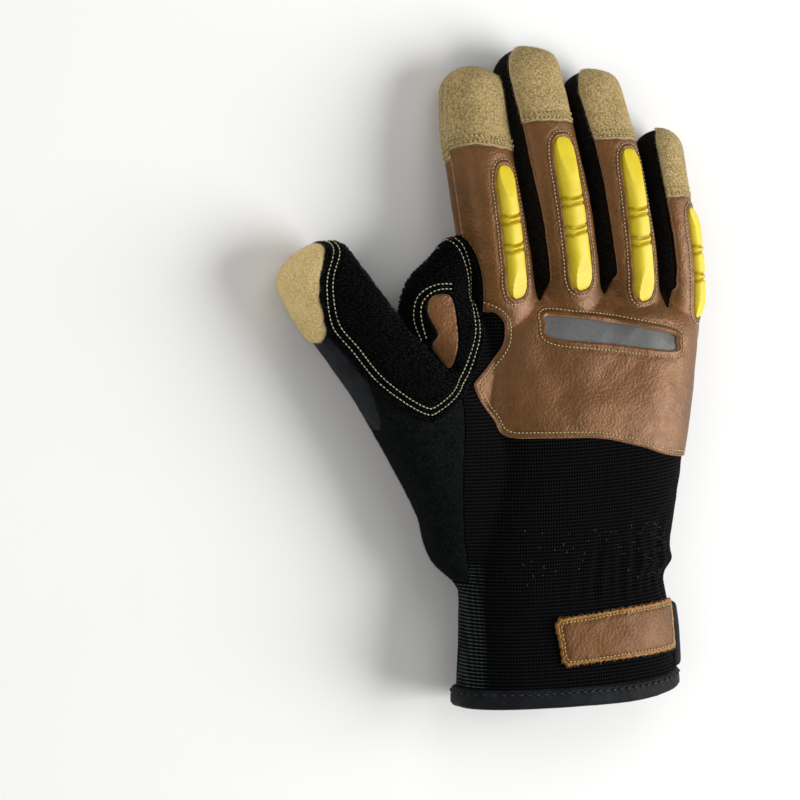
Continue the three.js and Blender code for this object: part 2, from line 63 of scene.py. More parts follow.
# Middle of each section, half width, half thickness, and the roll in degrees that turns its back outwards.
HAND_ROWS = [
    Section(-8, 19.4, 23.6, 46.8, 20.6, 0),
    Section(4, 19.4, 23.5, 46.4, 20.5, 0),
    Section(26, 19.4, 23.1, 45.3, 20.2, 0),
    Section(48, 18.8, 22, 43.8, 19.5, 0),
    Section(68, 20.2, 21.5, 45.1, 20.6, 0),
    Section(98, 23.6, 21.2, 46.6, 20.6, 0),
    Section(128, 26.9, 19.8, 48.6, 19, 0),
    Section(150, 28.2, 18.6, 48, 15.5, 0),
    Section(162, 23.5, 18.5, 38.5, 7.5, 0),
]
INDEX_ROWS = [
    Section(140, -5, 18.6, 12.6, 10.8, 6),
    Section(165, -8.9, 20.8, 13.4, 11.2, 13),
    Section(188, -12.9, 22, 13.5, 10.8, 15),
    Section(208, -15.5, 19.6, 12.9, 10.6, 15),
    Section(225, -16.2, 15, 13.1, 10.4, 15),
    Section(238, -15.8, 12.4, 12.2, 10.2, 15),
]
MIDDLE_ROWS = [
    Section(140, 23, 18.6, 12.4, 10.8, 5),
    Section(165, 19.5, 21.6, 13.1, 11.1, 11),
    Section(189, 14.8, 23.5, 13.8, 11, 12),
    Section(210, 11.6, 21.2, 13.1, 10.8, 12),
    Section(229, 9.6, 15.9, 13, 10.8, 12),
    Section(244.5, 7, 12.8, 12.9, 10.8, 12),
]
RING_ROWS = [
    Section(138, 49.6, 18, 11.6, 10.2, 5),
    Section(161, 47.3, 20.6, 12, 10.7, 11),
    Section(182, 43.8, 22.5, 12, 10.5, 12),
    Section(202, 41, 20.6, 11.9, 10.4, 12),
    Section(220, 38.7, 16, 12.1, 10.2, 12),
    Section(235.5, 35.8, 12.2, 11.8, 10, 12),
]
PINKY_ROWS = [
    Section(126, 65, 18, 8.5, 8.5, 20),
    Section(142, 69.3, 17.2, 9.7, 9.2, 28),
    Section(158, 69.5, 17.8, 10, 9.4, 36),
    Section(172, 69.2, 17.5, 9.9, 9.2, 38),
    Section(188, 68, 15.9, 9.8, 9.1, 35),
    Section(202, 67, 13.2, 9.9, 8.9, 32),
    Section(212.5, 66.6, 11.2, 9.4, 8.7, 32),
]
THUMB_ROWS = [
    Section(56, 0, 21.5, 26, 10, 0),
    Section(66, -6, 21.5, 26.8, 11.5, 0),
    Section(77, -13, 21.6, 29.8, 13.2, 0),
    Section(90, -21, 21.8, 26.2, 14.8, 0),
    Section(110, -37, 22.2, 21.4, 16.5, 0),
    Section(130, -54, 21.8, 17.2, 15.8, 0),
    Section(150, -70.2, 20.2, 15.6, 14.7, 0),
    Section(164, -80.4, 17.8, 15.6, 13.6, 0),
    Section(173, -85.4, 16, 14.6, 12.4, 0),
]
WEB_ROWS = [
    Section(115, -22, 21, 16, 10, 0),
    Section(138, -32, 21.5, 18.6, 11.5, 0),
    Section(160, -36, 21.5, 14, 8, 0),
    Section(172, -31, 21.5, 8.4, 6.5, 0),
    Section(180, -27.5, 21.5, 5.2, 5, 0),
]
SQUARENESS = 2.5
RING_SIDES = 72
RING_STEP = 1.5
TIP_STEPS = 14
TIP_ROUNDING = 0.95
# The last ring of a tip is a little open, because one point closes it.
TIP_OPENING = 0.06

# The surface that the underside is flattened on, higher under the cuff, where the tabs lie beneath it.
CUFF_FLOOR = 4.3
PALM_FLOOR = 2.0
CUFF_FLOOR_END = 40.0
PALM_FLOOR_START = 70.0
HEM = 4.0
HEM_RISE = 4.5
HEM_RISE_END = 60.0
# The hem rises no further than this share of the hand's half width, a little past its side.
HEM_ACROSS = 1.1

Limb = namedtuple("Limb", "name rows tip")
HAND = Limb("hand", HAND_ROWS, 0)
INDEX = Limb("index", INDEX_ROWS, 9.8)
MIDDLE = Limb("middle", MIDDLE_ROWS, 10.6)
RING = Limb("ring", RING_ROWS, 10)
PINKY = Limb("pinky", PINKY_ROWS, 9)
THUMB = Limb("thumb", THUMB_ROWS, 9.2)
WEB = Limb("web", WEB_ROWS, 3)
FINGERS = [INDEX, MIDDLE, RING, PINKY]
LIMBS = [HAND, *FINGERS, THUMB, WEB]
# Where the leather of a finger's back and its two caps begin, how far left and right it reaches before the
# knit walls, the height of the seam between back and palm, and how much the caps' edges slope across.
Division = namedtuple("Division", "base cap_back cap_palm left right seam slope")
DIVISIONS = {
    "index": Division(160, 215.5, 212.5, None, 12.8, -2, -0.14),
    "middle": Division(157, 224.5, 221.5, 11.9, 13.2, 0, -0.1),
    "ring": Division(157, 216.8, 214.5, 10, 11.3, 0, -0.13),
    "pinky": Division(148, 194.3, 192, 8.6, None, -1, 0),
}
# The bumper's ends, how far across it lies at each end, and its half width.
Bumper = namedtuple("Bumper", "start end across_start across_end wide")
BUMPERS = {
    "index": Bumper(161.5, 209, -0.7, 1.6, 4.1),
    "middle": Bumper(164, 218.2, -0.8, 1.1, 4.6),
    "ring": Bumper(158.5, 212.7, -0.4, 2.6, 4.2),
    "pinky": Bumper(149.5, 189.8, 3, 3, 3.8),
}
# Half of a bumper's window in the leather: shares of its length and of its half width.
WINDOW_SHAPE = [(0.012, 0.4), (0.04, 0.78), (0.12, 1), (0.88, 1), (0.96, 0.78), (0.988, 0.4)]
# The two fingers, the lowest Y of the walls between them and the X where that is.
Crotch = namedtuple("Crotch", "first second y x")
CROTCHES = [
    Crotch(INDEX, MIDDLE, 159.0, 4.2),
    Crotch(MIDDLE, RING, 160.2, 32.4),
    Crotch(RING, PINKY, 154.0, 59.8),
]
# The edge at a crotch rises towards the fingers, steeply once it is this far from the middle.
CROTCH_HALF = 3.4
CROTCH_RISE = 1.6
CROTCH_POWER = 4
CROTCH_RISES = 3

# Outlines seen from above, as X and Y. FAR lies beyond the glove. The curves through the edges are closed
# by the corners, which lie outside the glove or under another panel.
FAR = 130.0
BACK_CORNERS = [(FAR, 172)]
TERRY_START = [(-29, 188)]
TERRY_END = [(-84.5, 192)]
PALM_CORNERS = [(-FAR, 2 * FAR), (FAR, 2 * FAR)]
BACK_EDGE = [
    (-24, 172), (-24, 158.6), (-20, 157.6), (-17, 156.2), (-14.2, 154.4), (-12, 151.8), (-11.3, 149),
    (-11.5, 145.5), (-13.3, 141.5), (-17.3, 136.7), (-24.2, 130.6), (-25.6, 128.2), (-22.2, 121.5),
    (-17.4, 114.6), (-15.6, 110.4), (-11, 107.9), (0, 107.5), (24, 106.5), (42, 102.5), (66, 96.5),
    (FAR, 92),
]
TERRY_EDGE = [
    (-25.2, 183), (-22.6, 176.5), (-20, 165), (-19.4, 150), (-23.5, 138), (-28, 129), (-35, 122.5),
    (-43.5, 117.3), (-48.5, 116), (-58, 120.5), (-70, 130), (-80, 142), (-88, 152.5), (-90.3, 165),
    (-89, 174), (-84.5, 183),
]
WEB_LEATHER_OUTLINE = [
    (-43.2, 161), (-40.4, 163.3), (-34.6, 163), (-32.7, 158.7), (-32.2, 150.7), (-32.7, 143.6),
    (-35.2, 135.3), (-39.4, 139.5), (-42, 144.2), (-40.2, 148.4), (-42.4, 153), (-44, 157.4),
]
THUMB_CAP_OUTLINE = [
    (-84.5, 192), (-84.5, 183), (-89, 174), (-90.3, 165), (-88.2, 156), (-87.2, 152), (-86.6, 146),
    (-FAR, 134), (-FAR, 192),
]
FABRIC_OUTLINE = [
    (-25.2, 52), (-27.5, 60), (-30, 69), (-32, 85), (-33, 100), (-32.3, 118), (-32.3, 200), (-FAR, 200),
    (-FAR, 52),
]
PALM_EDGE = [
    (FAR, 53), (58, 53.5), (44, 54.7), (29, 60), (20, 67), (10.7, 69.5), (-0.4, 67.5), (-14, 63),
    (-29, 60), (-40, 62), (-FAR, 66),
]
HOOK_LINES = [
    [
        (-33.5, 167.2), (-38.8, 167.3), (-43.8, 165.6), (-47.2, 162), (-48.2, 156.9), (-47.4, 151.5),
        (-45.9, 145.6),
    ],
    [
        (-33.5, 165.3), (-38.2, 165.4), (-42.4, 164), (-45.3, 161), (-46.3, 157), (-45.5, 152.2),
        (-43.9, 146.6),
    ],
]
# The palm's sewn pads.
PADS = {
    "heart_pad": [
        (66.5, 154.8), (59.8, 165.6), (52.7, 156.7), (47.4, 147.8), (42.6, 149.4), (39.5, 160.9),
        (35.5, 166.7), (27.1, 154.8), (24.4, 145.9), (28.4, 139), (40.3, 133.6), (52.7, 134.4),
        (62.9, 140.5),
    ],
    "large_pad": [
        (57.6, 118.6), (50.5, 127.4), (37.2, 127.8), (25.3, 132.8), (18.2, 142.5), (16.9, 156.7),
        (15.1, 169.8), (9.8, 173.3), (4.5, 166), (2.5, 158), (0.9, 150), (4, 142), (9.8, 134.3),
        (15.1, 125.5), (27.1, 114.3), (33.7, 102), (27.1, 93.6), (16.9, 96.6), (6, 108), (0, 117.8),
        (-13.3, 133.6), (-3.3, 113.2), (-2.2, 92), (2.7, 81.6), (22.2, 77), (42.6, 78.2), (50.5, 83.2),
        (56.7, 103.6),
    ],
    "thumb_pad": [
        (-19.5, 127.4), (-11.5, 116.7), (-12.4, 94.7), (-16.4, 85.1), (-19, 92), (-26.5, 108.2),
        (-26.5, 116.7),
    ],
}
# The smooth strip beside the cap, along the thumb's edge.
THUMB_STRIP = [(-98, 141.5), (-82.6, 151.1), (-71, 131), (-62.5, 112), (-66, 102), (-98, 128)]
# A place on the crease at the thumb's foot, and the direction across it towards the web.
THUMB_FOOT = (-48, 146)
THUMB_ACROSS = (0.723, 0.69)
WEB_SEAM = [(-33, 165.5), (-33.4, 181)]
THUMB_CREASE = [(-60, 158.5), (-53, 152), (-46.9, 146.8), (-41, 139.5), (-36.5, 133.9)]
STRIP_OUTLINE = [
    (5.8, 150.4), (8.2, 153.3), (33, 150), (60.2, 144.3), (62.3, 141.2), (60, 138.2), (32, 142.1),
    (7.6, 145.4),
]
STRAP_OUTLINE = [
    (4.5, 36), (6, 38), (33.5, 40.4), (61.3, 41.6), (61.3, 22.6), (32.6, 21.2), (8.6, 19.8), (7, 21.5),
]
WRIST_TAB_OUTLINE = [
    (31.5, 12.2), (31.8, 56), (20, 65.2), (10.7, 68), (-0.4, 66), (-14, 61.5), (-8.5, 38), (-3.5, 12.2),
]
TERRY_BOTTOM = 11.0
FABRIC_BOTTOM = 9.5
HAND_MIDDLE = 21.0
HAND_FRONT_MIDDLE = 14.0
STRAP_BOTTOM = 30.3
CUFF_SEAM = -21.8
CUFF_SEAM_LINE = [(-24, 60), (-21.6, 47), (-20.8, 36), (-21.4, 22), (-21.9, 10)]
CUFF_TOP = 59.5
BACK_KNIT_END = 160.5
GORE_OUTLINE = [(46, 9), (100, 9), (146, 11), (146, 12.5), (100, 22), (46, 22)]
GORE_SIDE = 40.0
BINDING_TOP = 11.5
# The slit lies on the little finger's side, between these places along and these heights.
Slit = namedtuple("Slit", "side start end low high")
SLIT = Slit(45, 14.5, 40.5, 19.5, 30.5)

# A panel lies between two heights over the skin, and its edge turns down over the radius. One that is under
# runs on below the leather beside it. The two faces of a folded one meet at its edge.
Kind = namedtuple("Kind", "top bottom radius under folded")
KINDS = {
    "leather": Kind(0.55, -0.4, 0.9, False, False),
    "suede": Kind(0.7, -0.4, 0.7, False, False),
    "terry": Kind(0.45, -0.4, 0.9, False, False),
    "knit": Kind(-0.5, -1.3, 0.6, True, False),
    "fleece": Kind(-0.5, -1.3, 0.6, True, False),
    "tape": Kind(-0.5, -1.0, 0.4, True, False),
    "patch": Kind(1.2, -0.4, 0.4, False, False),
    "wall": Kind(-0.2, -1.3, 1.2, False, False),
    "hem": Kind(1.5, -2.6, 1.7, False, True),
    "piping": Kind(3.4, -0.4, 4.6, False, False),
}
OVERLAP = 2.0
OVERLAP_RISE = 4.0
EDGE_THICK = 0.3
# Lines of points that every panel has near its edge, as shares of the radius.
EDGE_CUTS = [0.3, 0.85]

# The panels in the order in which they are laid out: an earlier one keeps its place.
Panel = namedtuple("Panel", "kind slot")
PANELS = {
    "fourchette_index_middle": Panel("wall", "knit"),
    "fourchette_middle_ring": Panel("wall", "knit"),
    "fourchette_ring_pinky": Panel("wall", "knit"),
    **{f"{limb.name}_cap_{side}": Panel("suede", "suede") for limb in FINGERS for side in ("back", "palm")},
    "thumb_cap": Panel("suede", "suede"),
    "web_leather": Panel("leather", "leather"),
    "thumb_terry": Panel("terry", "terry"),
    "reflective_strip": Panel("tape", "tape"),
    "side_gore": Panel("knit", "knit"),
    "back_leather": Panel("leather", "leather"),
    "thumb_fabric": Panel("fleece", "fleece"),
    "back_knit": Panel("knit", "knit"),
    "palm_leather": Panel("leather", "leather"),
    "cuff_palm_knit": Panel("knit", "knit"),
    "wrist_strap": Panel("patch", "leather"),
    "wrist_leather_tab": Panel("patch", "leather"),
    "slit_binding": Panel("piping", "binding"),
    "cuff_binding": Panel("hem", "binding"),
}
NEARNESS = 10.0
FINGER_REACH = 1.35
CROTCH_RADIUS = 4.2
CREASE_SHARE = 1.5
# How soon a wall's edge turns to the middle of the tip on the finger's right and left, and how much further
# the wall reaches round the tip on the palm's half.
WALL_NARROWING = {1: 1.3, -1: 0.5}
PALM_REACH = 6.0
PALM_REACH_SPAN = 4.0
PALM_HALF = (-1, 2)
# The caps' edges wave a little: turns a millimetre and start.
EDGE_WAVE = 0.15
CAP_WAVES = [(0.9, 0), (0.37, 1)]
THUMB_CAP_WAVE = 0.8
# The strap's torn edge is a sum of waves along X and Y, and the first of them sways with Y.
RAGGED = 0.2
Wave = namedtuple("Wave", "x y sway start")
RAGGED_WAVES = [Wave(1.9, 0, 2, 0), Wave(3.1, -1.3, 0, 0), Wave(0, 2.3, 0, 1)]
RAGGED_SWAY = 0.7
STRIP_OVERLAP = 2.0
WINDOW_GAP = 0.7
WINDOW_REACH = 2.0
UNDER_BINDING = 10.9
# The wrist's leather panel lies below this height.
WRIST_TAB_TOP = 17.0
NOWHERE = 99.0
OUTSIDE = -1e3
EVERYWHERE = 50.0


# Curves and sections

LEAST_LENGTH = 1e-9


def columns(rows):
    return {key: np.array([getattr(row, key) for row in rows], float) for key in Section._fields}


def along(rows, key, y):
    """A value of the rows at places y, on a smooth curve through them."""
    table = columns(rows)
    places, values = table["y"], table[key]
    last = len(places) - 1
    at = np.clip(np.searchsorted(places, y, side="left") - 1, 0, last - 1)
    before, after = np.maximum(at - 1, 0), np.minimum(at + 2, last)
    span = places[at + 1] - places[at]
    share = np.clip((y - places[at]) / span, 0, 1)
    slope_in = (values[at + 1] - values[before]) / (places[at + 1] - places[before]) * span
    slope_out = (values[after] - values[at]) / (places[after] - places[at]) * span
    ease = share * share * (3 - 2 * share)
    curve = values[at] + (values[at + 1] - values[at]) * ease
    return curve + share * (1 - share) ** 2 * slope_in - share**2 * (1 - share) * slope_out


def unit(vectors):
    return vectors / np.maximum(np.linalg.norm(vectors, axis=-1, keepdims=True), LEAST_LENGTH)


def smoothstep(value, low, high):
    share = np.clip((value - low) / (high - low), 0, 1)
    return share * share * (3 - 2 * share)


Frames = namedtuple("Frames", "middle side up forward wide high")


def frames_at(limb, y):
    y = np.atleast_1d(np.asarray(y, float))
    rows = limb.rows

    def point(at):
        return np.stack([along(rows, "x", at), at, along(rows, "z", at)], axis=1)

    if limb.name == "hand":
        forward = np.tile([0.0, 1.0, 0.0], (len(y), 1))
    else:
        forward = unit(point(np.minimum(y + 1, rows[-1].y)) - point(np.maximum(y - 1, rows[0].y)))
    roll = np.radians(along(rows, "roll", y))[:, None]
    side = unit(np.cross(forward, [0.0, 0.0, 1.0]))
    side = side * np.cos(roll) + np.cross(forward, side) * np.sin(roll)
    up = np.cross(side, forward)
    return Frames(point(y), side, up, forward, along(rows, "wide", y), along(rows, "high", y))


def floor_at(y):
    return CUFF_FLOOR + (PALM_FLOOR - CUFF_FLOOR) * smoothstep(y, CUFF_FLOOR_END, PALM_FLOOR_START)


def limb_rings(limb):
    """The limb's surface as rings of points, from its base to its rounded tip."""
    first, last = limb.rows[0].y, limb.rows[-1].y
    count = max(int(round((last - first) / RING_STEP)), 2)
    places = np.linspace(first, last, count + 1)
    ahead = np.zeros(len(places))
    scale = np.ones(len(places))
    if limb.tip:
        turns = np.linspace(0, math.pi / 2, TIP_STEPS + 1)[1:]
        turns[-1] -= TIP_OPENING
        places = np.concatenate([places, np.full(len(turns), float(last))])
        ahead = np.concatenate([ahead, limb.tip * np.sin(turns)])
        scale = np.concatenate([scale, np.cos(turns) ** TIP_ROUNDING])
    frames = frames_at(limb, places)
    angles = np.linspace(0, 2 * math.pi, RING_SIDES, endpoint=False)
    across = np.sign(np.cos(angles)) * np.abs(np.cos(angles)) ** (2 / SQUARENESS)
    upward = np.sign(np.sin(angles)) * np.abs(np.sin(angles)) ** (2 / SQUARENESS)
    wide = (frames.wide * scale)[:, None] * across
    high = (frames.high * scale)[:, None] * upward
    points = (
        (frames.middle + frames.forward * ahead[:, None])[:, None, :]
        + wide[..., None] * frames.side[:, None, :]
        + high[..., None] * frames.up[:, None, :]
    )
    points[..., 2] = np.maximum(points[..., 2], floor_at(points[..., 1]))
    return points


def skin(rings):
    """Closed triangles over rings of points, with a middle point at each end."""
    count, sides, _ = rings.shape
    points = np.concatenate([rings.reshape(-1, 3), [rings[0].mean(0)], [rings[-1].mean(0)]])
    k = np.arange(sides)
    after = (k + 1) % sides
    faces = []
    for i in range(count - 1):
        a, b = i * sides + k, i * sides + after
        c, d = a + sides, b + sides
        faces += [np.stack([a, c, b], 1), np.stack([b, c, d], 1)]
    end = (count - 1) * sides
    faces.append(np.stack([np.full(sides, count * sides), k, after], 1))
    faces.append(np.stack([np.full(sides, count * sides + 1), end + after, end + k], 1))
    return points, np.concatenate(faces)


# Meshes

def to_frame(points):
    return (np.asarray(points, float) + SHIFT) * MM


def new_mesh(name, points, faces):
    """A mesh from points in the drawing and triangles or quads as rows of corners."""
    mesh = bpy.data.meshes.new(name)
    faces = np.asarray(faces, np.int32)
    mesh.vertices.add(len(points))
    mesh.vertices.foreach_set("co", to_frame(points).astype(np.float32).ravel())
    mesh.loops.add(faces.size)
    mesh.loops.foreach_set("vertex_index", faces.ravel())
    mesh.polygons.add(len(faces))
    sides = faces.shape[1]
    mesh.polygons.foreach_set("loop_start", np.arange(0, faces.size, sides, dtype=np.int32))
    mesh.update(calc_edges=True)
    mesh.validate()
    mesh.polygons.foreach_set("use_smooth", np.full(len(mesh.polygons), True))
    mesh.update()
    return mesh


def new_object(name, mesh):
    made = bpy.data.objects.new(name, mesh)
    bpy.context.scene.collection.objects.link(made)
    return made


def read_points(mesh):
    flat = np.empty(len(mesh.vertices) * 3, np.float32)
    mesh.vertices.foreach_get("co", flat)
    return flat.reshape(-1, 3).astype(float) / MM - SHIFT


def read_triangles(mesh):
    mesh.calc_loop_triangles()
    flat = np.empty(len(mesh.loop_triangles) * 3, np.int32)
    mesh.loop_triangles.foreach_get("vertices", flat)
    return flat.reshape(-1, 3)


def body_surface():
    """One smooth skin round the hand, the fingers, the thumb and its web."""
    points, faces, start = [], [], 0
    for limb in LIMBS:
        limb_points, limb_faces = skin(limb_rings(limb))
        points.append(limb_points)
        faces.append(limb_faces + start)
        start += len(limb_points)
    rough = new_object("body_draft", new_mesh("body_draft", np.concatenate(points), np.concatenate(faces)))
    remesh = rough.modifiers.new("remesh", "REMESH")
    remesh.mode = "VOXEL"
    remesh.voxel_size = VOXEL * MM
    smooth = rough.modifiers.new("smooth", "SMOOTH")
    smooth.factor = SMOOTHING_FACTOR
    smooth.iterations = SMOOTHING
    depsgraph = bpy.context.evaluated_depsgraph_get()
    made = bpy.data.meshes.new_from_object(rough.evaluated_get(depsgraph))
    points, triangles = read_points(made), read_triangles(made)
    bpy.data.objects.remove(rough)
    bpy.data.meshes.remove(made)
    return points, triangles


def vertex_normals(points, triangles):
    corners = points[triangles]
    normals = np.cross(corners[:, 1] - corners[:, 0], corners[:, 2] - corners[:, 0])
    summed = np.zeros_like(points)
    for k in range(3):
        np.add.at(summed, triangles[:, k], normals)
    return unit(summed)


TINY = 1e-6
Cut = namedtuple("Cut", "crossed turned a b share first second")


def cut_triangles(triangles, level):
    """Where the level is 0: which triangles it crosses, their corners from the lone one on, the two ends of
    each crossed edge, how far along it the crossing is, and each triangle's two crossings."""
    above = level[triangles] > 0
    crossed = above.any(1) & ~above.all(1)
    if not crossed.any():
        return None
    cut, above = triangles[crossed], above[crossed]
    lone = np.where(above.sum(1) == 1, above.argmax(1), (~above).argmax(1))
    turned = np.stack([cut[np.arange(len(cut)), (lone + k) % 3] for k in range(3)], 1)
    edges = np.sort(np.concatenate([turned[:, [0, 1]], turned[:, [0, 2]]]), 1)
    pairs, index = np.unique(edges, axis=0, return_inverse=True)
    first, second = index.reshape(2, -1)
    a, b = pairs.T
    return Cut(crossed, turned, a, b, level[a] / (level[a] - level[b]), first, second)


def at_cut(values, cut):
    """Values at the places where the edges are crossed."""
    share = cut.share[:, None] if values.ndim > 1 else cut.share
    return values[cut.a] + (values[cut.b] - values[cut.a]) * share


def off_zero(level):
    """The level without zeros, so that no corner lies on the line itself."""
    return np.where(np.abs(level) < TINY, TINY, level)


class Surface:
    """Points, triangles and values that belong to each point."""

    def __init__(self, points, triangles, **values):
        self.points = points
        self.triangles = triangles
        self.values = values

    def split(self, field):
        """Cuts the triangles along field = 0, so that new points lie on that line."""
        level = off_zero(field)
        cut = cut_triangles(self.triangles, level)
        if cut is None:
            return self, level
        points = np.concatenate([self.points, at_cut(self.points, cut)])
        values = {key: np.concatenate([value, at_cut(value, cut)]) for key, value in self.values.items()}
        level = np.concatenate([level, np.zeros(len(cut.a))])
        p, q = len(self.points) + cut.first, len(self.points) + cut.second
        tip, left, right = cut.turned.T
        parts = [np.stack(corners, 1) for corners in ((tip, p, q), (p, left, right), (p, right, q))]
        return Surface(points, np.concatenate([self.triangles[~cut.crossed], *parts]), **values), level

    def keep(self, level):
        """Only the triangles where the field is above 0."""
        triangles = self.triangles[level[self.triangles].max(1) > 10 * TINY]
        used = np.unique(triangles)
        renumber = np.full(len(self.points), -1)
        renumber[used] = np.arange(len(used))
        values = {key: value[used] for key, value in self.values.items()}
        return Surface(self.points[used], renumber[triangles], **values)

    def lines(self, key, level):
        """The lines along which one of the values is the level, as rows of points and normals."""
        cut = cut_triangles(self.triangles, off_zero(self.values[key] - level))
        if cut is None:
            return []
        points, normals = at_cut(self.points, cut), at_cut(self.values["normal"], cut)
        links = {}
        for p, q in zip(cut.first, cut.second):
            links.setdefault(p, []).append(q)
            links.setdefault(q, []).append(p)
        left = set(links)
        made = []
        for start in [p for p in links if len(links[p]) == 1] + list(links):
            if start not in left:
                continue
            left.discard(start)
            chain = [start]
            onward = [q for q in links[start] if q in left]
            while onward:
                chain.append(onward[0])
                left.discard(onward[0])
                onward = [q for q in links[chain[-1]] if q in left]
            if len(links[start]) == 2 and start in links[chain[-1]] and len(chain) > 3:
                chain.append(start)
            made.append((points[chain], normals[chain]))
        return made


def boundary_edges(triangles):
    edges = np.concatenate([triangles[:, [0, 1]], triangles[:, [1, 2]], triangles[:, [2, 0]]])
    key = np.sort(edges, 1)
    _, index, count = np.unique(key, axis=0, return_inverse=True, return_counts=True)
    return edges[count[index.reshape(-1)] == 1]


# Distances: all are in millimetres, above 0 inside

def segment_distance(x, y, outline, closed=True):
    outline = np.asarray(outline, float)
    starts = outline if closed else outline[:-1]
    ends = np.roll(outline, -1, axis=0) if closed else outline[1:]
    best = np.full(len(x), np.inf)
    for (ax, ay), (bx, by) in zip(starts, ends):
        dx, dy = bx - ax, by - ay
        share = np.clip(((x - ax) * dx + (y - ay) * dy) / max(dx * dx + dy * dy, LEAST_LENGTH), 0, 1)
        best = np.minimum(best, np.hypot(x - ax - share * dx, y - ay - share * dy))
    return best


def inside_distance(x, y, outline):
    outline = np.asarray(outline, float)
    inside = np.zeros(len(x), bool)
    for (ax, ay), (bx, by) in zip(outline, np.roll(outline, -1, axis=0)):
        if ay == by:
            continue
        crosses = (ay > y) != (by > y)
        inside ^= crosses & (x < (bx - ax) * (y - ay) / (by - ay) + ax)
    return np.where(inside, 1.0, -1.0) * segment_distance(x, y, outline)


def curve_through(points, closed=False, steps=8):
    """A smooth curve through the points."""
    points = np.asarray(points, float)
    count = len(points)
    spans = count if closed else count - 1
    made = []
    for i in range(spans):
        if closed:
            a, b, c, d = (points[(i + k) % count] for k in (-1, 0, 1, 2))
        else:
            a, b = points[max(i - 1, 0)], points[i]
            c, d = points[i + 1], points[min(i + 2, count - 1)]
        for share in np.arange(steps) / steps:
            made.append(
                0.5 * (2 * b + (c - a) * share + (2 * a - 5 * b + 4 * c - d) * share**2
                       + (3 * b - a - 3 * c + d) * share**3)
            )
    if not closed:
        made.append(points[-1])
    return np.array(made)


# How often a place along a limb is improved, the least that the limb counts as running along Y, and how
# near the last section a point counts as on the tip.
PLACE_ROUNDS = 4
LEAST_FORWARD = 0.3
AT_TIP = 0.01
Place = namedtuple("Place", "t u v wide high")


def place_on(limb, points):
    """Each point in the limb's own section: how far along, across and up, and that section's size."""
    low, high = limb.rows[0].y, limb.rows[-1].y
    t = np.clip(points[:, 1], low, high)
    for _ in range(PLACE_ROUNDS):
        frames = frames_at(limb, t)
        ahead = ((points - frames.middle) * frames.forward).sum(1)
        t = np.clip(t + ahead * np.maximum(frames.forward[:, 1], LEAST_FORWARD), low, high)
    frames = frames_at(limb, t)
    offset = points - frames.middle
    ahead = (offset * frames.forward).sum(1)
    length = t + np.where(t > high - AT_TIP, np.maximum(ahead, 0), 0)
    return Place(length, (offset * frames.side).sum(1), (offset * frames.up).sum(1), frames.wide, frames.high)


# Fields of the glove's panels

def rounded_both(a, b, radius):
    """Above 0 where both are, with a rounded corner."""
    far = np.minimum(np.maximum(radius - a, radius - b), 0)
    return radius - far - np.hypot(np.maximum(radius - a, 0), np.maximum(radius - b, 0))


def finger_places(points):
    """Each finger's section coordinates, and how much nearer the points are to it than to the others."""
    places = {limb.name: place_on(limb, points) for limb in FINGERS}
    levels = {}
    for name, place in places.items():
        share = (np.abs(place.u) / place.wide) ** SQUARENESS + (np.abs(place.v) / place.high) ** SQUARENESS
        levels[name] = share ** (1 / SQUARENESS)
    near = {}
    for name, level in levels.items():
        others = np.min([levels[other] for other in levels if other != name], axis=0)
        near[name] = NEARNESS * np.minimum(others - level, FINGER_REACH - level)
    return places, near


def hem_place(points):
    """Y as it would be if the hem ran straight across."""
    middle, wide = along(HAND_ROWS, "x", points[:, 1]), along(HAND_ROWS, "wide", points[:, 1])
    across = np.clip((points[:, 0] - middle) / wide, 0, HEM_ACROSS) ** 3
    return (points[:, 1] - HEM_RISE * across) / (1 - HEM_RISE * across / HEM_RISE_END)


def wall_field(limb, place, near, side, above):
    """The knit side of a finger, whose edge runs on to the middle of the tip."""
    division = DIVISIONS[limb.name]
    tip = limb.rows[-1].y
    ahead = np.clip((place.t - tip) / limb.tip, 0, 1)
    cut = (division.right if side > 0 else division.left) * (1 - ahead**2) ** WALL_NARROWING[side]
    palm_half = smoothstep(-place.v, *PALM_HALF)
    cut = cut - PALM_REACH * smoothstep(place.t, tip - PALM_REACH_SPAN, tip + PALM_REACH_SPAN) * palm_half
    field = rounded_both(side * place.u - cut, above, CROTCH_RADIUS)
    return np.minimum(field, near + CREASE_SHARE)


def wall_fields(x, y, places, near):
    """The knit walls between the fingers."""
    fields = {}
    for first, second, lowest, middle in CROTCHES:
        rise = np.minimum(((x - middle) / CROTCH_HALF) ** CROTCH_POWER, CROTCH_RISES)
        above = y - lowest - CROTCH_RISE * rise
        fields[f"fourchette_{first.name}_{second.name}"] = np.maximum(
            wall_field(first, places[first.name], near[first.name], 1, above),
            wall_field(second, places[second.name], near[second.name], -1, above),
        )
    return fields


def past_cap_edge(place, division, side):
    """How far a place lies beyond the lower edge of the back or the palm cap."""
    edge = division.cap_back if side > 0 else division.cap_palm
    return place.t - edge - division.slope * np.clip(place.u, -place.wide, place.wide)


def cap_field(place, near, division, side):
    wave = sum(EDGE_WAVE * np.sin(place.u * turns + start) for turns, start in CAP_WAVES)
    past = past_cap_edge(place, division, side) + wave
    return np.minimum.reduce([past, side * (place.v - division.seam), near + CREASE_SHARE])


def back_strip_field(place, near, division):
    """The leather of a finger's back."""
    sides = []
    if division.right:
        sides.append(division.right - place.u)
    if division.left:
        sides.append(place.u + division.left)
    along_it = [place.t - division.base + STRIP_OVERLAP, -past_cap_edge(place, division, 1)]
    return np.minimum.reduce([*along_it, *sides, place.v - division.seam, near + CREASE_SHARE])


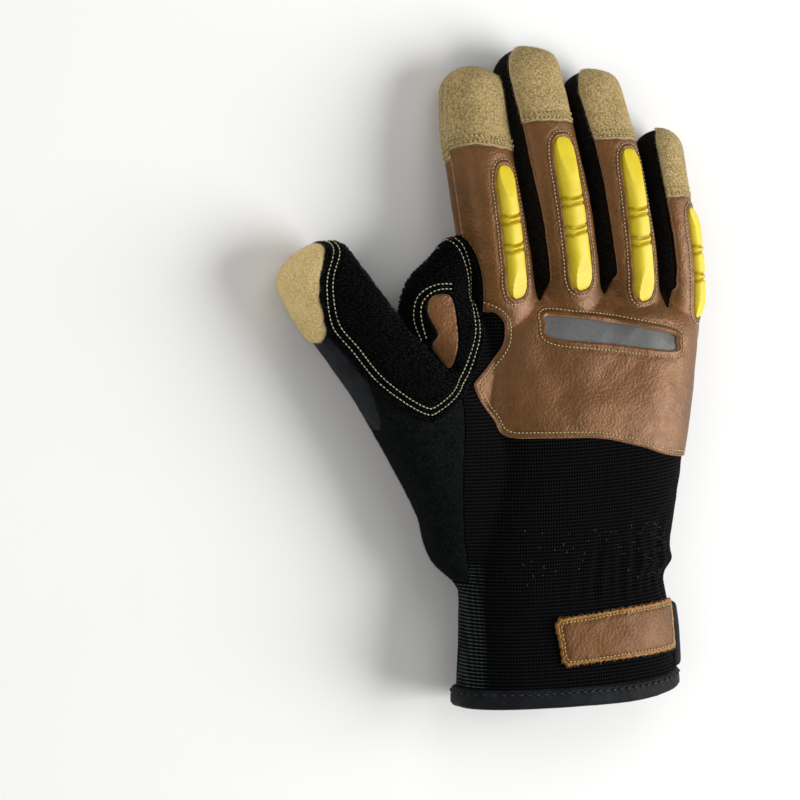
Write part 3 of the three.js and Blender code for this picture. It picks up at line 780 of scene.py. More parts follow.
def window_outline(bumper):
    span = bumper.end - bumper.start
    shift = bumper.across_end - bumper.across_start
    around = WINDOW_SHAPE + [(share, -wide) for share, wide in reversed(WINDOW_SHAPE)]
    return [
        (bumper.start + span * share, bumper.across_start + shift * share + bumper.wide * wide)
        for share, wide in around
    ]


def finger_fields(places, near):
    """The fields of the fingers' caps, and what the fingers share: the leather strips of their backs, the
    bumpers' windows, the distance past the caps' edges, and the seams at the outer fingers' free sides."""
    count = len(near["index"])
    fields = {}
    strips, windows, cap_lines = (np.full(count, OUTSIDE) for _ in range(3))
    seams = np.full(count, NOWHERE)
    for limb in FINGERS:
        place, division, close = places[limb.name], DIVISIONS[limb.name], near[limb.name]
        for side, side_name in ((1, "back"), (-1, "palm")):
            fields[f"{limb.name}_cap_{side_name}"] = cap_field(place, close, division, side)
            on_it = np.minimum(side * (place.v - division.seam), close + CREASE_SHARE) > 0
            cap_lines = np.where(on_it, past_cap_edge(place, division, side), cap_lines)
        window = inside_distance(place.t, place.u, window_outline(BUMPERS[limb.name]))
        windows = np.maximum(windows, np.minimum.reduce([window + WINDOW_GAP, place.v, close + WINDOW_REACH]))
        strips = np.maximum(strips, back_strip_field(place, close, division))
        beside = (close + CREASE_SHARE > 0) & (place.t > division.base)
        seams = np.where(beside, np.abs(place.v - division.seam), seams)
    return fields, strips, windows, cap_lines, seams


def hand_fields(points, strips):
    """The fields of the panels round the hand and the thumb, for the places that they keep."""
    x, y, z = points.T
    back = np.concatenate([curve_through(BACK_EDGE), BACK_CORNERS])
    terry = np.concatenate([TERRY_START, curve_through(TERRY_EDGE), TERRY_END])
    teardrop = curve_through(WEB_LEATHER_OUTLINE, closed=True)
    strip = curve_through(STRIP_OUTLINE, closed=True)
    return {
        "thumb_cap": inside_distance(x, y, THUMB_CAP_OUTLINE) + EDGE_WAVE * np.sin(y * THUMB_CAP_WAVE),
        "web_leather": np.minimum(inside_distance(x, y, teardrop), z - HAND_MIDDLE),
        "thumb_terry": np.minimum(inside_distance(x, y, terry), z - TERRY_BOTTOM),
        "reflective_strip": np.minimum(inside_distance(x, y, strip), z - HAND_MIDDLE),
        "side_gore": gore_field(points),
        "back_leather": np.maximum(np.minimum(inside_distance(x, y, back), z - HAND_FRONT_MIDDLE), strips),
        "thumb_fabric": np.minimum(inside_distance(x, y, FABRIC_OUTLINE), z - FABRIC_BOTTOM),
        "back_knit": knit_field(points),
        "palm_leather": inside_distance(x, y, np.concatenate([curve_through(PALM_EDGE), PALM_CORNERS])),
        "cuff_palm_knit": np.full(len(points), EVERYWHERE),
    }


def gore_field(points, further=0):
    x, y, z = points.T
    return np.minimum(inside_distance(y, z, GORE_OUTLINE) + further, x - GORE_SIDE)


def knit_field(points, further=0):
    x, y, z = points.T
    reach = np.minimum(np.maximum(y - CUFF_TOP, x - CUFF_SEAM), BACK_KNIT_END - y)
    return np.minimum(z - HAND_MIDDLE + further, reach)


def own_fields(points, fields):
    """The fields of the panels as they are cut: the knits run on below the leather, but meet edge to edge."""
    x, y, z = points.T
    further = OVERLAP * smoothstep(y, CUFF_TOP, CUFF_TOP + OVERLAP_RISE)
    return fields | {
        "thumb_fabric": np.minimum(inside_distance(x, y, FABRIC_OUTLINE), z - FABRIC_BOTTOM + OVERLAP),
        "back_knit": knit_field(points, further),
        "side_gore": gore_field(points, further),
        "reflective_strip": fields["reflective_strip"] + OVERLAP,
    }


def laid_out(fields, own, windows, above_binding):
    """Each field cut back to the room that the earlier ones leave."""
    below_leather, below_knit = (np.full(len(windows), OUTSIDE) for _ in range(2))
    panels = {}
    for name, field in fields.items():
        under = KINDS[PANELS[name].kind].under
        room = np.minimum(-below_leather + OVERLAP * under, -below_knit)
        if name == "back_leather":
            room = np.minimum(room, -windows)
        panels[name] = np.minimum.reduce([own[name], room, above_binding])
        if under:
            below_knit = np.maximum(below_knit, field)
        else:
            below_leather = np.maximum(below_leather, field)
    return panels


def sewn_on_fields(points, hem_at):
    """The fields of the pieces that lie on top of the others."""
    x, y, z = points.T
    swaying = np.sin(RAGGED_SWAY * y)
    waves = [np.sin(wave.x * x + wave.y * y + wave.sway * swaying + wave.start) for wave in RAGGED_WAVES]
    ragged = RAGGED * sum(waves)
    slit = [x - SLIT.side, y - SLIT.start, SLIT.end - y, z - SLIT.low, SLIT.high - z]
    return {
        "wrist_strap": np.minimum(inside_distance(x, y, STRAP_OUTLINE) + ragged, z - STRAP_BOTTOM),
        "wrist_leather_tab": np.minimum(inside_distance(x, y, WRIST_TAB_OUTLINE), WRIST_TAB_TOP - z),
        "slit_binding": np.minimum.reduce(slit),
        "cuff_binding": np.minimum(hem_at - HEM, BINDING_TOP - hem_at),
    }


def panel_fields(points):
    """A signed distance for each panel, and the values along whose levels it is sewn."""
    x, y, z = points.T
    places, near = finger_places(points)
    fields = wall_fields(x, y, places, near)
    caps, strips, windows, cap_lines, seams = finger_fields(places, near)
    fields = fields | caps | hand_fields(points, strips)
    hem_at = hem_place(points)
    panels = laid_out(fields, own_fields(points, fields), windows, hem_at - UNDER_BINDING)
    back, front = z > HAND_MIDDLE, z > HAND_FRONT_MIDDLE
    lines = {
        "window": windows - WINDOW_GAP,
        "strip": fields["reflective_strip"],
        "lower_edge": line_distance(x, y, curve_through(BACK_EDGE[1:]), front),
        "terry": fields["thumb_terry"],
        "cap": cap_lines,
        "seam": seams,
        "cuff_seam": line_distance(x, y, CUFF_SEAM_LINE, front),
        "web_seam": segment_distance(x, y, WEB_SEAM, False),
        "palm_edge": line_distance(x, y, curve_through(PALM_EDGE), z < HAND_MIDDLE),
        "hem": hem_at,
        "hook": np.minimum(*[line_distance(x, y, curve_through(row), back) for row in HOOK_LINES]),
        "thumb_strip": inside_distance(x, y, THUMB_STRIP),
    }
    for name, outline in PADS.items():
        inside = inside_distance(x, y, curve_through(outline, closed=True))
        lines[name] = np.where(z < HAND_FRONT_MIDDLE, inside, -NOWHERE)
    return panels | sewn_on_fields(points, hem_at), lines


def line_distance(x, y, line, where):
    """The distance from an open line seen from above, on one side of the hand only."""
    return np.where(where, segment_distance(x, y, line, False), NOWHERE)


# Surface relief

def bump_at(points, centre, size):
    offset = (points[:, :2] - np.asarray(centre)) / np.asarray(size)
    return np.exp(-(offset**2).sum(1))


def ridge(distance, width):
    return np.exp(-((distance / width) ** 2))


# Each layer of noise is this much finer and weaker than the one before, and each of its waves is of a
# length between these shares of the layer's.
NOISE_LAYERS = 3
NOISE_WAVES = 7
NOISE_FINER = 1.9
NOISE_WEAKER = 1.6
WAVE_LENGTHS = (0.8, 1.4)
WAVE_STARTS = (0, 6.3)
NOISE_GAIN = 2.2


def noise(points, scale, seed):
    """Soft repeatable noise from -1 to 1, of features about as large as scale."""
    rng = np.random.default_rng(seed)
    total = np.zeros(len(points))
    weight = 0.0
    for layer in range(NOISE_LAYERS):
        weaker = NOISE_WEAKER**layer
        for _ in range(NOISE_WAVES):
            direction = unit(rng.normal(size=3))
            length = scale / NOISE_FINER**layer * rng.uniform(*WAVE_LENGTHS)
            total += np.sin(points @ direction * (2 * math.pi / length) + rng.uniform(*WAVE_STARTS)) / weaker
        weight += NOISE_WAVES / weaker
    return np.clip(total / weight * NOISE_GAIN, -1, 1)


# Dents and swellings of the hand's back: middle, half width and length, and height.
Dent = namedtuple("Dent", "x y across along height")
DENTS = [
    Dent(3, 140, 7, 9, -1.1),
    Dent(10, 128, 8, 12, -0.8),
    Dent(33, 128, 12, 8, -0.5),
    Dent(52, 124, 8, 12, 0.6),
    Dent(-6, 158, 5, 6, 0.5),
    Dent(21.5, 157, 5.5, 6, 0.9),
    Dent(49, 152, 5.5, 6, 0.8),
    Dent(7.5, 152, 4, 5, -0.9),
    Dent(36.5, 153.5, 4, 5, -0.9),
    Dent(61, 146, 3.5, 5, -0.7),
    Dent(24, 118, 14, 5, 0.5),
    Dent(-12, 128, 5, 9, 0.7),
]
# Valleys of the gathered cuff: middle X, lowest and highest Y, half width, depth, and how much X changes
# with Y.
Fold = namedtuple("Fold", "x low high width depth lean")
GATHERS = [
    Fold(8, 46, 66, 2.2, 0.35, 0.05),
    Fold(16, 46, 70, 2.0, 0.5, 0.08),
    Fold(23, 45, 74, 1.8, 0.9, 0.06),
    Fold(29, 47, 69, 1.5, 0.6, 0.02),
    Fold(34.5, 45, 73, 1.9, 0.9, -0.04),
    Fold(41, 46, 78, 1.7, 1.0, -0.02),
    Fold(46.5, 45, 70, 1.5, 0.7, 0.05),
    Fold(51.5, 46, 80, 1.9, 1.0, 0.1),
    Fold(57, 45, 68, 1.6, 0.7, 0.1),
]
# A valley begins this far below and above its lowest Y, and fades over the last part below its highest.
FOLD_START = (-6, 4)
FOLD_FADE = 14.0
# The elastic's waist, and the rings round it: how far above it, half width and height. Two lie at the right
# side.
WAIST = 49.5
Swell = namedtuple("Swell", "above width height")
SIDE_SWELLS = [Swell(0, 4, -0.6), Swell(7.5, 3.6, 1.8)]
BACK_SWELL = Swell(0, 6, -0.5)
RIGHT_SIDE = (30, 55)
# How far a normal points up where the skin counts as the back, and where as more than the underside.
BACK_FACING = (0.1, 0.6)
NOT_BELOW_FACING = (-0.4, 0.2)
# The crease at the thumb's foot: its depth, how wide it is towards the web and away from it, and where it
# fades.
CREASE_DEPTH = 2.6
CREASE_WEB_WIDTH = 5.0
CREASE_WIDTH = 1.0
CREASE_START = (130, 138)
CREASE_END = (156, 162)
# The leather's unevenness: size of the features, height, and which seed.
Waves = namedtuple("Waves", "size height seed")
UNEVEN = [Waves(26, 0.22, SEED + 4), Waves(9, 0.1, SEED + 5)]


def relief(points, normals):
    """The folds, dents and gathers of the whole skin, along its normals."""
    x, y = points[:, 0], points[:, 1]
    back = smoothstep(normals[:, 2], *BACK_FACING)
    height = np.zeros(len(points))
    for dent in DENTS:
        height += dent.height * bump_at(points, (dent.x, dent.y), (dent.across, dent.along)) * back
    for fold in GATHERS:
        middle = fold.x + fold.lean * (y - WAIST)
        start, end = (fold.low + limit for limit in FOLD_START)
        reach = smoothstep(y, start, end) * (1 - smoothstep(y, fold.high - FOLD_FADE, fold.high))
        height -= fold.depth * reach * ridge(x - middle, fold.width) * back
    right = smoothstep(x, *RIGHT_SIDE) * smoothstep(normals[:, 2], *NOT_BELOW_FACING)
    for swell in SIDE_SWELLS:
        height += swell.height * right * ridge(y - WAIST - swell.above, swell.width)
    height += BACK_SWELL.height * ridge(y - WAIST, BACK_SWELL.width) * back
    crease = segment_distance(x, y, curve_through(THUMB_CREASE), False)
    fade = smoothstep(y, *CREASE_START) * (1 - smoothstep(y, *CREASE_END))
    web_side = (x - THUMB_FOOT[0]) * THUMB_ACROSS[0] + (y - THUMB_FOOT[1]) * THUMB_ACROSS[1] > 0
    height -= CREASE_DEPTH * ridge(crease, np.where(web_side, CREASE_WEB_WIDTH, CREASE_WIDTH)) * back * fade
    return height + sum(waves.height * noise(points, waves.size, waves.seed) for waves in UNEVEN)


# Pieces

def piece(name, mesh, material, slot_name=None, *nodes):
    """Makes the mesh a piece that rides on the glove, and hides the nodes that it replaces where they are
    given. The slot name is not used.
    """
    mesh.materials.append(material)
    made = new_object(name, mesh)
    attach(made, "root")
    if nodes:
        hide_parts(*nodes)


def copies(name, points, faces, material, slot_name=None):
    """One piece of many small copies, from a row of points for each copy and the triangles of one of them."""
    count, each, _ = points.shape
    triangles = np.asarray(faces) + each * np.arange(count)[:, None, None]
    piece(name, new_mesh(name, points.reshape(-1, 3), triangles.reshape(-1, 3)), material, slot_name)


def add_value(mesh, key, value):
    layer = mesh.attributes.new(key, "FLOAT", "POINT")
    layer.data.foreach_set("value", value.astype(np.float32).ravel())


def shell(surface, kind, extra):
    """The panel's closed skin: its outer face, its inner face, and the strip that joins their edges."""
    turn = np.sqrt(1 - (1 - np.clip(surface.values["edge"] / kind.radius, 0, 1)) ** 2)
    if kind.folded:
        low = (kind.top + kind.bottom) / 2
        bottom = low + (kind.bottom - low) * turn
    else:
        low = kind.bottom + EDGE_THICK
        bottom = np.full(len(turn), kind.bottom)
    top = low + (kind.top - low) * turn + extra * turn
    normals = surface.values["normal"]
    outer = surface.points + normals * top[:, None]
    inner = surface.points + normals * bottom[:, None]
    count = len(outer)
    a, b = boundary_edges(surface.triangles).T
    faces = np.concatenate([
        surface.triangles,
        surface.triangles[:, ::-1] + count,
        np.stack([b, a, a + count], 1),
        np.stack([b, a + count, b + count], 1),
    ])
    return np.concatenate([outer, inner]), faces


def cut_panel(body, field, kind):
    """The part of the body's surface inside the field, with extra lines of points along its edge."""
    body = Surface(body.points, body.triangles, **body.values)
    for depth in EDGE_CUTS:
        body.values["field"] = field
        body, _ = body.split(field - depth * kind.radius)
        field = body.values["field"]
    body, level = body.split(field)
    body.values["edge"] = np.maximum(level, 0)
    del body.values["field"]
    return body.keep(level)


def panel_object(name, surface, extra):
    panel = PANELS[name]
    mesh = new_mesh(name, *shell(surface, KINDS[panel.kind], extra))
    for key, value in surface.values.items():
        if value.ndim == 1:
            add_value(mesh, key, np.concatenate([value, value]))
    finish = FINISHES.get(name, "wall" if panel.kind == "wall" else panel.slot)
    piece(f"{name}_panel", mesh, MATERIALS[finish], panel.slot, name)


# Materials

RIB_PITCH = 1.37
COURSE_PITCH = 1.1
BINDING_PITCH = 0.6


class Nodes:
    """A short way to write a material's node tree."""

    def __init__(self, name, roughness=0.8, gloss=0.5, **sockets):
        self.material = bpy.data.materials.new(name)
        self.material.use_nodes = True
        self.tree = self.material.node_tree
        self.shader = self.tree.nodes["Principled BSDF"]
        self.put(self.shader, Roughness=roughness, Specular_IOR_Level=gloss, **sockets)
        self.place = self.add("ShaderNodeTexCoord").outputs["Object"]

    def add(self, kind, **settings):
        node = self.tree.nodes.new(kind)
        for key, value in settings.items():
            setattr(node, key, value)
        return node

    def feed(self, socket, value):
        """Links another socket to this one, or sets its value. A whole number is a colour's code."""
        if isinstance(value, bpy.types.NodeSocket):
            self.tree.links.new(value, socket)
        elif socket.type == "RGBA" and isinstance(value, int):
            socket.default_value = colour(value)
        else:
            socket.default_value = value

    def put(self, node, **values):
        for key, value in values.items():
            self.feed(node.inputs[key.replace("_", " ")], value)
        return node

    def noise(self, size_mm, detail=3.0, roughness=0.5):
        node = self.add("ShaderNodeTexNoise")
        self.put(node, Vector=self.place, Scale=1 / (size_mm * MM), Detail=detail, Roughness=roughness)
        return node.outputs["Fac"]

    def cells(self, size_mm, feature="F1"):
        node = self.add("ShaderNodeTexVoronoi", feature=feature)
        self.put(node, Vector=self.place, Scale=1 / (size_mm * MM), Randomness=1.0)
        return node.outputs["Distance"]

    def value(self, name):
        return self.add("ShaderNodeAttribute", attribute_name=name).outputs["Fac"]

    def math(self, operation, a, b=0.0):
        node = self.add("ShaderNodeMath", operation=operation)
        for socket, value in zip(node.inputs, (a, b)):
            self.feed(socket, value)
        return node.outputs[0]

    def waves(self, name, pitch_mm):
        """From -1 to 1 and back over each pitch of a value."""
        return self.math("SINE", self.math("MULTIPLY", self.value(name), 2 * math.pi / pitch_mm))

    def band(self, value, low, high, to_low=0.0, to_high=1.0):
        """A smooth step of the value from one range to another."""
        node = self.add("ShaderNodeMapRange", interpolation_type="SMOOTHSTEP")
        self.put(node, Value=value, From_Min=low, From_Max=high, To_Min=to_low, To_Max=to_high)
        return node.outputs["Result"]

    def patches(self, size_mm, low, high, detail=3.0, rough=0.5, to_low=0.0, to_high=1.0):
        """Noise of this size, from one value where it is low to another where it is high."""
        return self.band(self.noise(size_mm, detail, rough), low, high, to_low, to_high)

    def mix(self, share, a, b):
        """A colour between two colours, which are codes or sockets."""
        node = self.add("ShaderNodeMix", data_type="RGBA")
        self.feed(node.inputs[0], share)
        self.feed(node.inputs[6], a)
        self.feed(node.inputs[7], b)
        return node.outputs[2]

    def tinge(self, base, code, share, most):
        """The base with another colour over it, whose share is at most this much."""
        return self.mix(self.math("MULTIPLY", share, most), base, code)

    def bump(self, height, depth_mm, strength=1.0, normal=None):
        node = self.add("ShaderNodeBump")
        self.put(node, Height=height, Distance=depth_mm * MM, Strength=strength)
        if normal:
            self.put(node, Normal=normal)
        return node.outputs["Normal"]

    def finish(self, base, **sockets):
        self.put(self.shader, Base_Color=base, **sockets)
        return self.material


def colour(code):
    """A linear colour from an sRGB code such as 0x8a5a34."""
    parts = [(code >> shift & 255) / 255 for shift in (16, 8, 0)]
    linear = [part / 12.92 if part <= 0.04045 else ((part + 0.055) / 1.055) ** 2.4 for part in parts]
    return (*linear, 1.0)


DARKER = 0.68


def darker(code):
    return sum(int((code >> shift & 255) * DARKER) << shift for shift in (16, 8, 0))


def leather_material(name, raw, raw_width, gloss):
    """Pebbled goatskin, with a raw edge of another colour."""
    m = Nodes(name, gloss=gloss, Specular_Tint=0xFFC6A0)
    base = m.mix(m.patches(22, 0.36, 0.66, detail=4), 0x4A2E0B, 0x5E3C14)
    base = m.tinge(base, 0x6A4018, m.patches(2.2, 0.42, 0.68, detail=4, rough=0.6), most=0.35)
    grain = m.cells(1.0, "SMOOTH_F1")
    base = m.tinge(base, 0x261404, m.band(grain, 0.05, 0.4, to_low=1.0, to_high=0.0), most=0.45)
    # Painted shadow of the stitches along the sewn lines.
    base = m.mix(m.value("sewn"), base, 0x1E1004)
    raw_share = m.band(m.value("edge"), raw_width * 0.3, raw_width, to_low=0.85, to_high=0.0)
    base = m.mix(raw_share, base, m.mix(m.patches(0.6, 0.4, 0.62, rough=0.7), raw, darker(raw)))
    normal = m.bump(m.noise(3.4, detail=4, roughness=0.55), depth_mm=0.13, strength=0.4)
    normal = m.bump(grain, depth_mm=0.16, normal=normal)
    normal = m.bump(m.noise(0.5, detail=2), depth_mm=0.05, strength=0.5, normal=normal)
    return m.finish(base, Roughness=m.patches(5, 0.3, 0.7, to_low=0.42, to_high=0.52), Normal=normal)


def suede_material(name, low, high, fleck, most_specks):
    """Napped suede of colours between low and high, with light flecks and dark specks."""
    m = Nodes(name, roughness=0.95, gloss=0.15, Sheen_Weight=0.15, Sheen_Roughness=0.5, Sheen_Tint=0xD8C49A)
    base = m.mix(m.patches(9, 0.35, 0.68, detail=4), low, high)
    base = m.tinge(base, fleck, m.patches(0.75, 0.38, 0.62, rough=0.7), most=0.8)
    base = m.tinge(base, 0x5E4724, m.patches(0.85, 0.48, 0.64, detail=4, rough=0.75), most=most_specks)
    base = m.mix(m.band(m.value("edge"), 0.1, 0.9, to_low=0.6, to_high=0.0), base, 0xD2BE90)
    # Painted shadow of the stitches along the sewn lines.
    base = m.mix(m.value("sewn"), base, 0x55401F)
    normal = m.bump(m.noise(0.9, detail=4, roughness=0.75), depth_mm=0.6, strength=0.9)
    normal = m.bump(m.noise(2.4), depth_mm=0.4, strength=0.35, normal=normal)
    return m.finish(base, Normal=normal)


def knit_material():
    """Ribs and courses, with a painted highlight on their ridges and painted shade between them."""
    m = Nodes("ribbed_knit", roughness=0.85, gloss=0.06)
    courses = m.math("MULTIPLY", m.waves("course", COURSE_PITCH), 0.3)
    weave = m.math("ADD", m.waves("rib", RIB_PITCH), courses)
    fuzz = m.noise(0.5, roughness=0.7)
    # The ribs' painted highlight, brighter and greener on the knit left of the cuff's seam.
    light = m.mix(m.value("left_side"), 0x18181B, 0x43504D)
    # Painted shade between the ribs, painted highlight on their ridges.
    base = m.mix(m.band(weave, 0.0, 1.2), 0x000001, light)
    base = m.tinge(base, 0x222226, m.band(fuzz, 0.58, 0.78), most=0.15)
    # Painted shade along the knit's seams.
    base = m.mix(m.value("sewn"), base, 0x000000)
    normal = m.bump(weave, depth_mm=0.5)
    normal = m.bump(fuzz, depth_mm=0.15, strength=0.5, normal=normal)
    return m.finish(base, Normal=normal)


def napped_material(name, gloss, uneven, low, high, between):
    """Dark cloth or suede with a fine nap."""
    m = Nodes(name, roughness=0.95, gloss=gloss)
    fuzz = m.noise(0.6, detail=4, roughness=uneven)
    return m.finish(m.mix(m.band(fuzz, *between), low, high), Normal=m.bump(fuzz, depth_mm=0.3, strength=0.8))


def terry_material():
    """The cloth between the terry's loops."""
    m = Nodes("terry", roughness=0.65, gloss=0.03)
    fuzz = m.noise(0.7, detail=4, roughness=0.7)
    normal = m.bump(m.cells(0.9), depth_mm=0.35, strength=0.8)
    normal = m.bump(fuzz, depth_mm=0.2, strength=0.6, normal=normal)
    return m.finish(m.mix(m.band(fuzz, 0.42, 0.7), 0x010102, 0x060607), Normal=normal)


def loop_material():
    m = Nodes("terry_loops", roughness=0.35, gloss=0.11)
    return m.finish(m.mix(m.patches(5, 0.35, 0.7), 0x010101, 0x060607))


def fleece_material():
    """Mottled fleece, smoother and greyer on the strip along the thumb."""
    m = Nodes("fleece", roughness=0.95, gloss=0.06)
    fuzz = m.noise(0.6, detail=4, roughness=0.75)
    strip = m.band(m.value("thumb_strip"), -0.2, 0.4)
    base = m.mix(m.patches(3.4, 0.38, 0.68, detail=5, rough=0.65), 0x060708, 0x0F1111)
    base = m.tinge(base, 0x262B2B, m.band(fuzz, 0.5, 0.66), most=0.7)
    base = m.mix(strip, base, m.mix(m.patches(5, 0.35, 0.7), 0x16191C, 0x212529))
    normal = m.bump(fuzz, depth_mm=0.3, strength=0.8)
    normal = m.bump(m.noise(3), depth_mm=0.5, strength=0.4, normal=normal)
    return m.finish(base, Roughness=m.band(m.value("thumb_strip"), -0.2, 0.4, 0.95, 0.55), Normal=normal)


def rubber_material():
    m = Nodes("yellow_rubber", gloss=0.4)
    base = m.mix(m.patches(8, 0.3, 0.7), 0xD8C118, 0xE0CA28)
    base = m.tinge(base, 0xB9A01E, m.patches(1.4, 0.62, 0.78, detail=5, rough=0.7), most=0.3)
    # Painted shade in the bumpers' grooves.
    base = m.mix(m.value("groove"), base, 0x8A6C00)
    normal = m.bump(m.noise(0.35, detail=2), depth_mm=0.05, strength=0.4)
    return m.finish(base, Roughness=m.patches(0.8, 0.3, 0.7, to_low=0.4, to_high=0.52), Normal=normal)


def tape_material():
    """Woven silver tape, worn in places, with a painted sheen that fades towards its right end."""
    m = Nodes("reflective_tape", gloss=0.4, Metallic=0.2)
    weave = m.put(m.add("ShaderNodeTexChecker"), Vector=m.place, Scale=1 / (0.45 * MM))
    # Painted sheen: lighter at the tape's left end, darker towards its right.
    base = m.mix(m.band(m.value("along"), 6, 58), 0x646566, 0x555654)
    base = m.tinge(base, 0x3E4144, m.patches(1.6, 0.45, 0.7, detail=5, rough=0.7), most=0.4)
    normal = m.bump(weave.outputs["Fac"], depth_mm=0.03, strength=0.5)
    normal = m.bump(m.noise(1.2, detail=4, roughness=0.7), depth_mm=0.12, strength=0.6, normal=normal)
    roughness = m.patches(2, 0.3, 0.7, detail=4, to_low=0.36, to_high=0.5)
    return m.finish(base, Roughness=roughness, Normal=normal)


def binding_material():
    m = Nodes("binding_tape", gloss=0.08)
    strands = m.waves("rib", BINDING_PITCH)
    base = m.mix(m.patches(6, 0.35, 0.7, detail=4), 0x0F1113, 0x1A1C1F)
    # Painted highlight on the raised crests of the woven strands.
    base = m.tinge(base, 0x282B2F, m.band(strands, -0.5, 1), most=0.25)
    normal = m.bump(strands, depth_mm=0.04, strength=0.6)
    normal = m.bump(m.noise(1.5, detail=4, roughness=0.6), depth_mm=0.18, strength=0.5, normal=normal)
    return m.finish(base, Roughness=m.patches(2, 0.3, 0.7, to_low=0.5, to_high=0.62), Normal=normal)


def thread_material(name, dark, light):
    m = Nodes(name, roughness=0.6)
    twist = m.noise(0.35, detail=2)
    base = m.mix(m.band(twist, 0.35, 0.65), dark, light)
    base = m.tinge(base, dark, m.patches(14, 0.4, 0.7), most=0.4)
    return m.finish(base, Normal=m.bump(twist, depth_mm=0.08, strength=0.8))


def fuzz_material(name, dark, light):
    m = Nodes(name, Sheen_Weight=0.4)
    return m.finish(m.mix(m.patches(1.2, 0.35, 0.65), dark, light))


def floor_material():
    m = Nodes("floor_paper", roughness=0.85)
    base = m.mix(m.noise(60), 0xF4F4F2, 0xF7F7F6)
    return m.finish(base, Normal=m.bump(m.noise(1.5), depth_mm=0.02, strength=0.2))


MATERIALS = {
    "leather": leather_material("goatskin", raw=0xB08A6A, raw_width=0.5, gloss=0.95),
    "strap": leather_material("raw_goatskin", raw=0xA8742E, raw_width=1.7, gloss=0.55),
    "suede": suede_material("suede", 0x8A7244, 0xA28856, fleck=0xD2BC88, most_specks=0.62),
    "pale suede": suede_material("pale_suede", 0xD6B46C, 0xE6C882, fleck=0xF2DCA8, most_specks=0.35),
    "knit": knit_material(),
    "wall": napped_material("knit_walls", 0.06, 0.7, 0x080706, 0x26211E, between=(0.4, 0.72)),
    "terry": terry_material(),
    "fleece": fleece_material(),
    "rubber": rubber_material(),
    "tape": tape_material(),
    "binding": binding_material(),
    "tab": napped_material("black_suede", 0.1, 0.75, 0x0B0A0A, 0x22201F, between=(0.4, 0.7)),
    "cream thread": thread_material("cream_thread", 0x9A8450, 0xDCC992),
    "pale thread": thread_material("pale_thread", 0xA3A27C, 0xDDE0B8),
    "yellow thread": thread_material("yellow_thread", 0xA8914A, 0xE0CE84),
    "black thread": thread_material("black_thread", 0x000000, 0x020202),
    "loops": loop_material(),
    "suede hair": fuzz_material("suede_hair", 0x9C8455, 0xC8B080),
    "lint": fuzz_material("lint", 0x4A4A4C, 0x8A8A8C),
    "golden fuzz": fuzz_material("golden_fuzz", 0x8A5A24, 0xC79A56),
}
# The finishes of the panels that differ from their slot's.
FINISHES = {"wrist_strap": "strap", "wrist_leather_tab": "strap", "thumb_cap": "pale suede"}


# Camera, light and floor

VIEW_DIRECTION = np.array([-0.46690, 0.10453, 0.87811])
IMAGE_RIGHT = np.array([0.88295, 0.0, 0.46947])
IMAGE_UP = np.array([0.04907, 0.99452, -0.09229])
PHOTO_MM = 308.0
CAMERA_DISTANCE = 3000.0
SENSOR = 36.0
NEAREST_SEEN = 0.05
FARTHEST_SEEN = 20.0
PHOTO_RIGHT = -35.6
PHOTO_UP = -8.86
PHOTO_CENTRE_Y = 127.5
WHITE = (1, 1, 1, 1)
WORLD_LIGHT = 0.22
FLOOR_HALF = 1.6
# Round lamps that face the glove: place and size in metres, and power.
Lamp = namedtuple("Lamp", "place size power")
LAMPS = {
    "left_box": Lamp((-1.3, 0.25, 1.0), 1.5, 9),
    "right_box": Lamp((1.35, -0.25, 0.95), 1.4, 36),
    "top_box": Lamp((-0.1, 0.9, 1.3), 1.0, 3),
}


def make_camera():
    data = bpy.data.cameras.new("camera")
    data.sensor_width = SENSOR
    data.lens = SENSOR * CAMERA_DISTANCE / PHOTO_MM
    data.clip_start = NEAREST_SEEN
    data.clip_end = FARTHEST_SEEN
    camera = new_object("camera", data)
    aim = IMAGE_RIGHT * PHOTO_RIGHT + IMAGE_UP * PHOTO_UP + [0, PHOTO_CENTRE_Y, 0]
    where = to_frame(aim + VIEW_DIRECTION * CAMERA_DISTANCE)
    axes = Matrix([IMAGE_RIGHT, IMAGE_UP, VIEW_DIRECTION]).transposed()
    camera.matrix_world = Matrix.Translation(where) @ axes.to_4x4()
    bpy.context.scene.camera = camera


def make_lamps():
    for name, lamp in LAMPS.items():
        data = bpy.data.lights.new(name, "AREA")
        data.shape = "DISK"
        data.size = lamp.size
        data.energy = lamp.power
        made = new_object(name, data)
        made.location = lamp.place
        made.rotation_euler = (-Vector(lamp.place)).to_track_quat("-Z", "Y").to_euler()


def make_stage():
    mesh = bpy.data.meshes.new("floor")
    corners = [(FLOOR_HALF * x, FLOOR_HALF * y, 0) for x, y in ((-1, -1), (1, -1), (1, 1), (-1, 1))]
    mesh.from_pydata(corners, [], [(0, 1, 2, 3)])
    mesh.materials.append(floor_material())
    floor = new_object("floor", mesh)
    world = bpy.data.worlds.new("studio")
    world.use_nodes = True
    sky = world.node_tree.nodes["Background"]
    sky.inputs["Color"].default_value = WHITE
    sky.inputs["Strength"].default_value = WORLD_LIGHT
    bpy.context.scene.world = world


# The skin, as something to lay other pieces on

# How far above the skin a search for it starts, and how evenly its corners' normals are mixed.
ABOVE_SKIN = 90.0
EVENNESS = 0.05


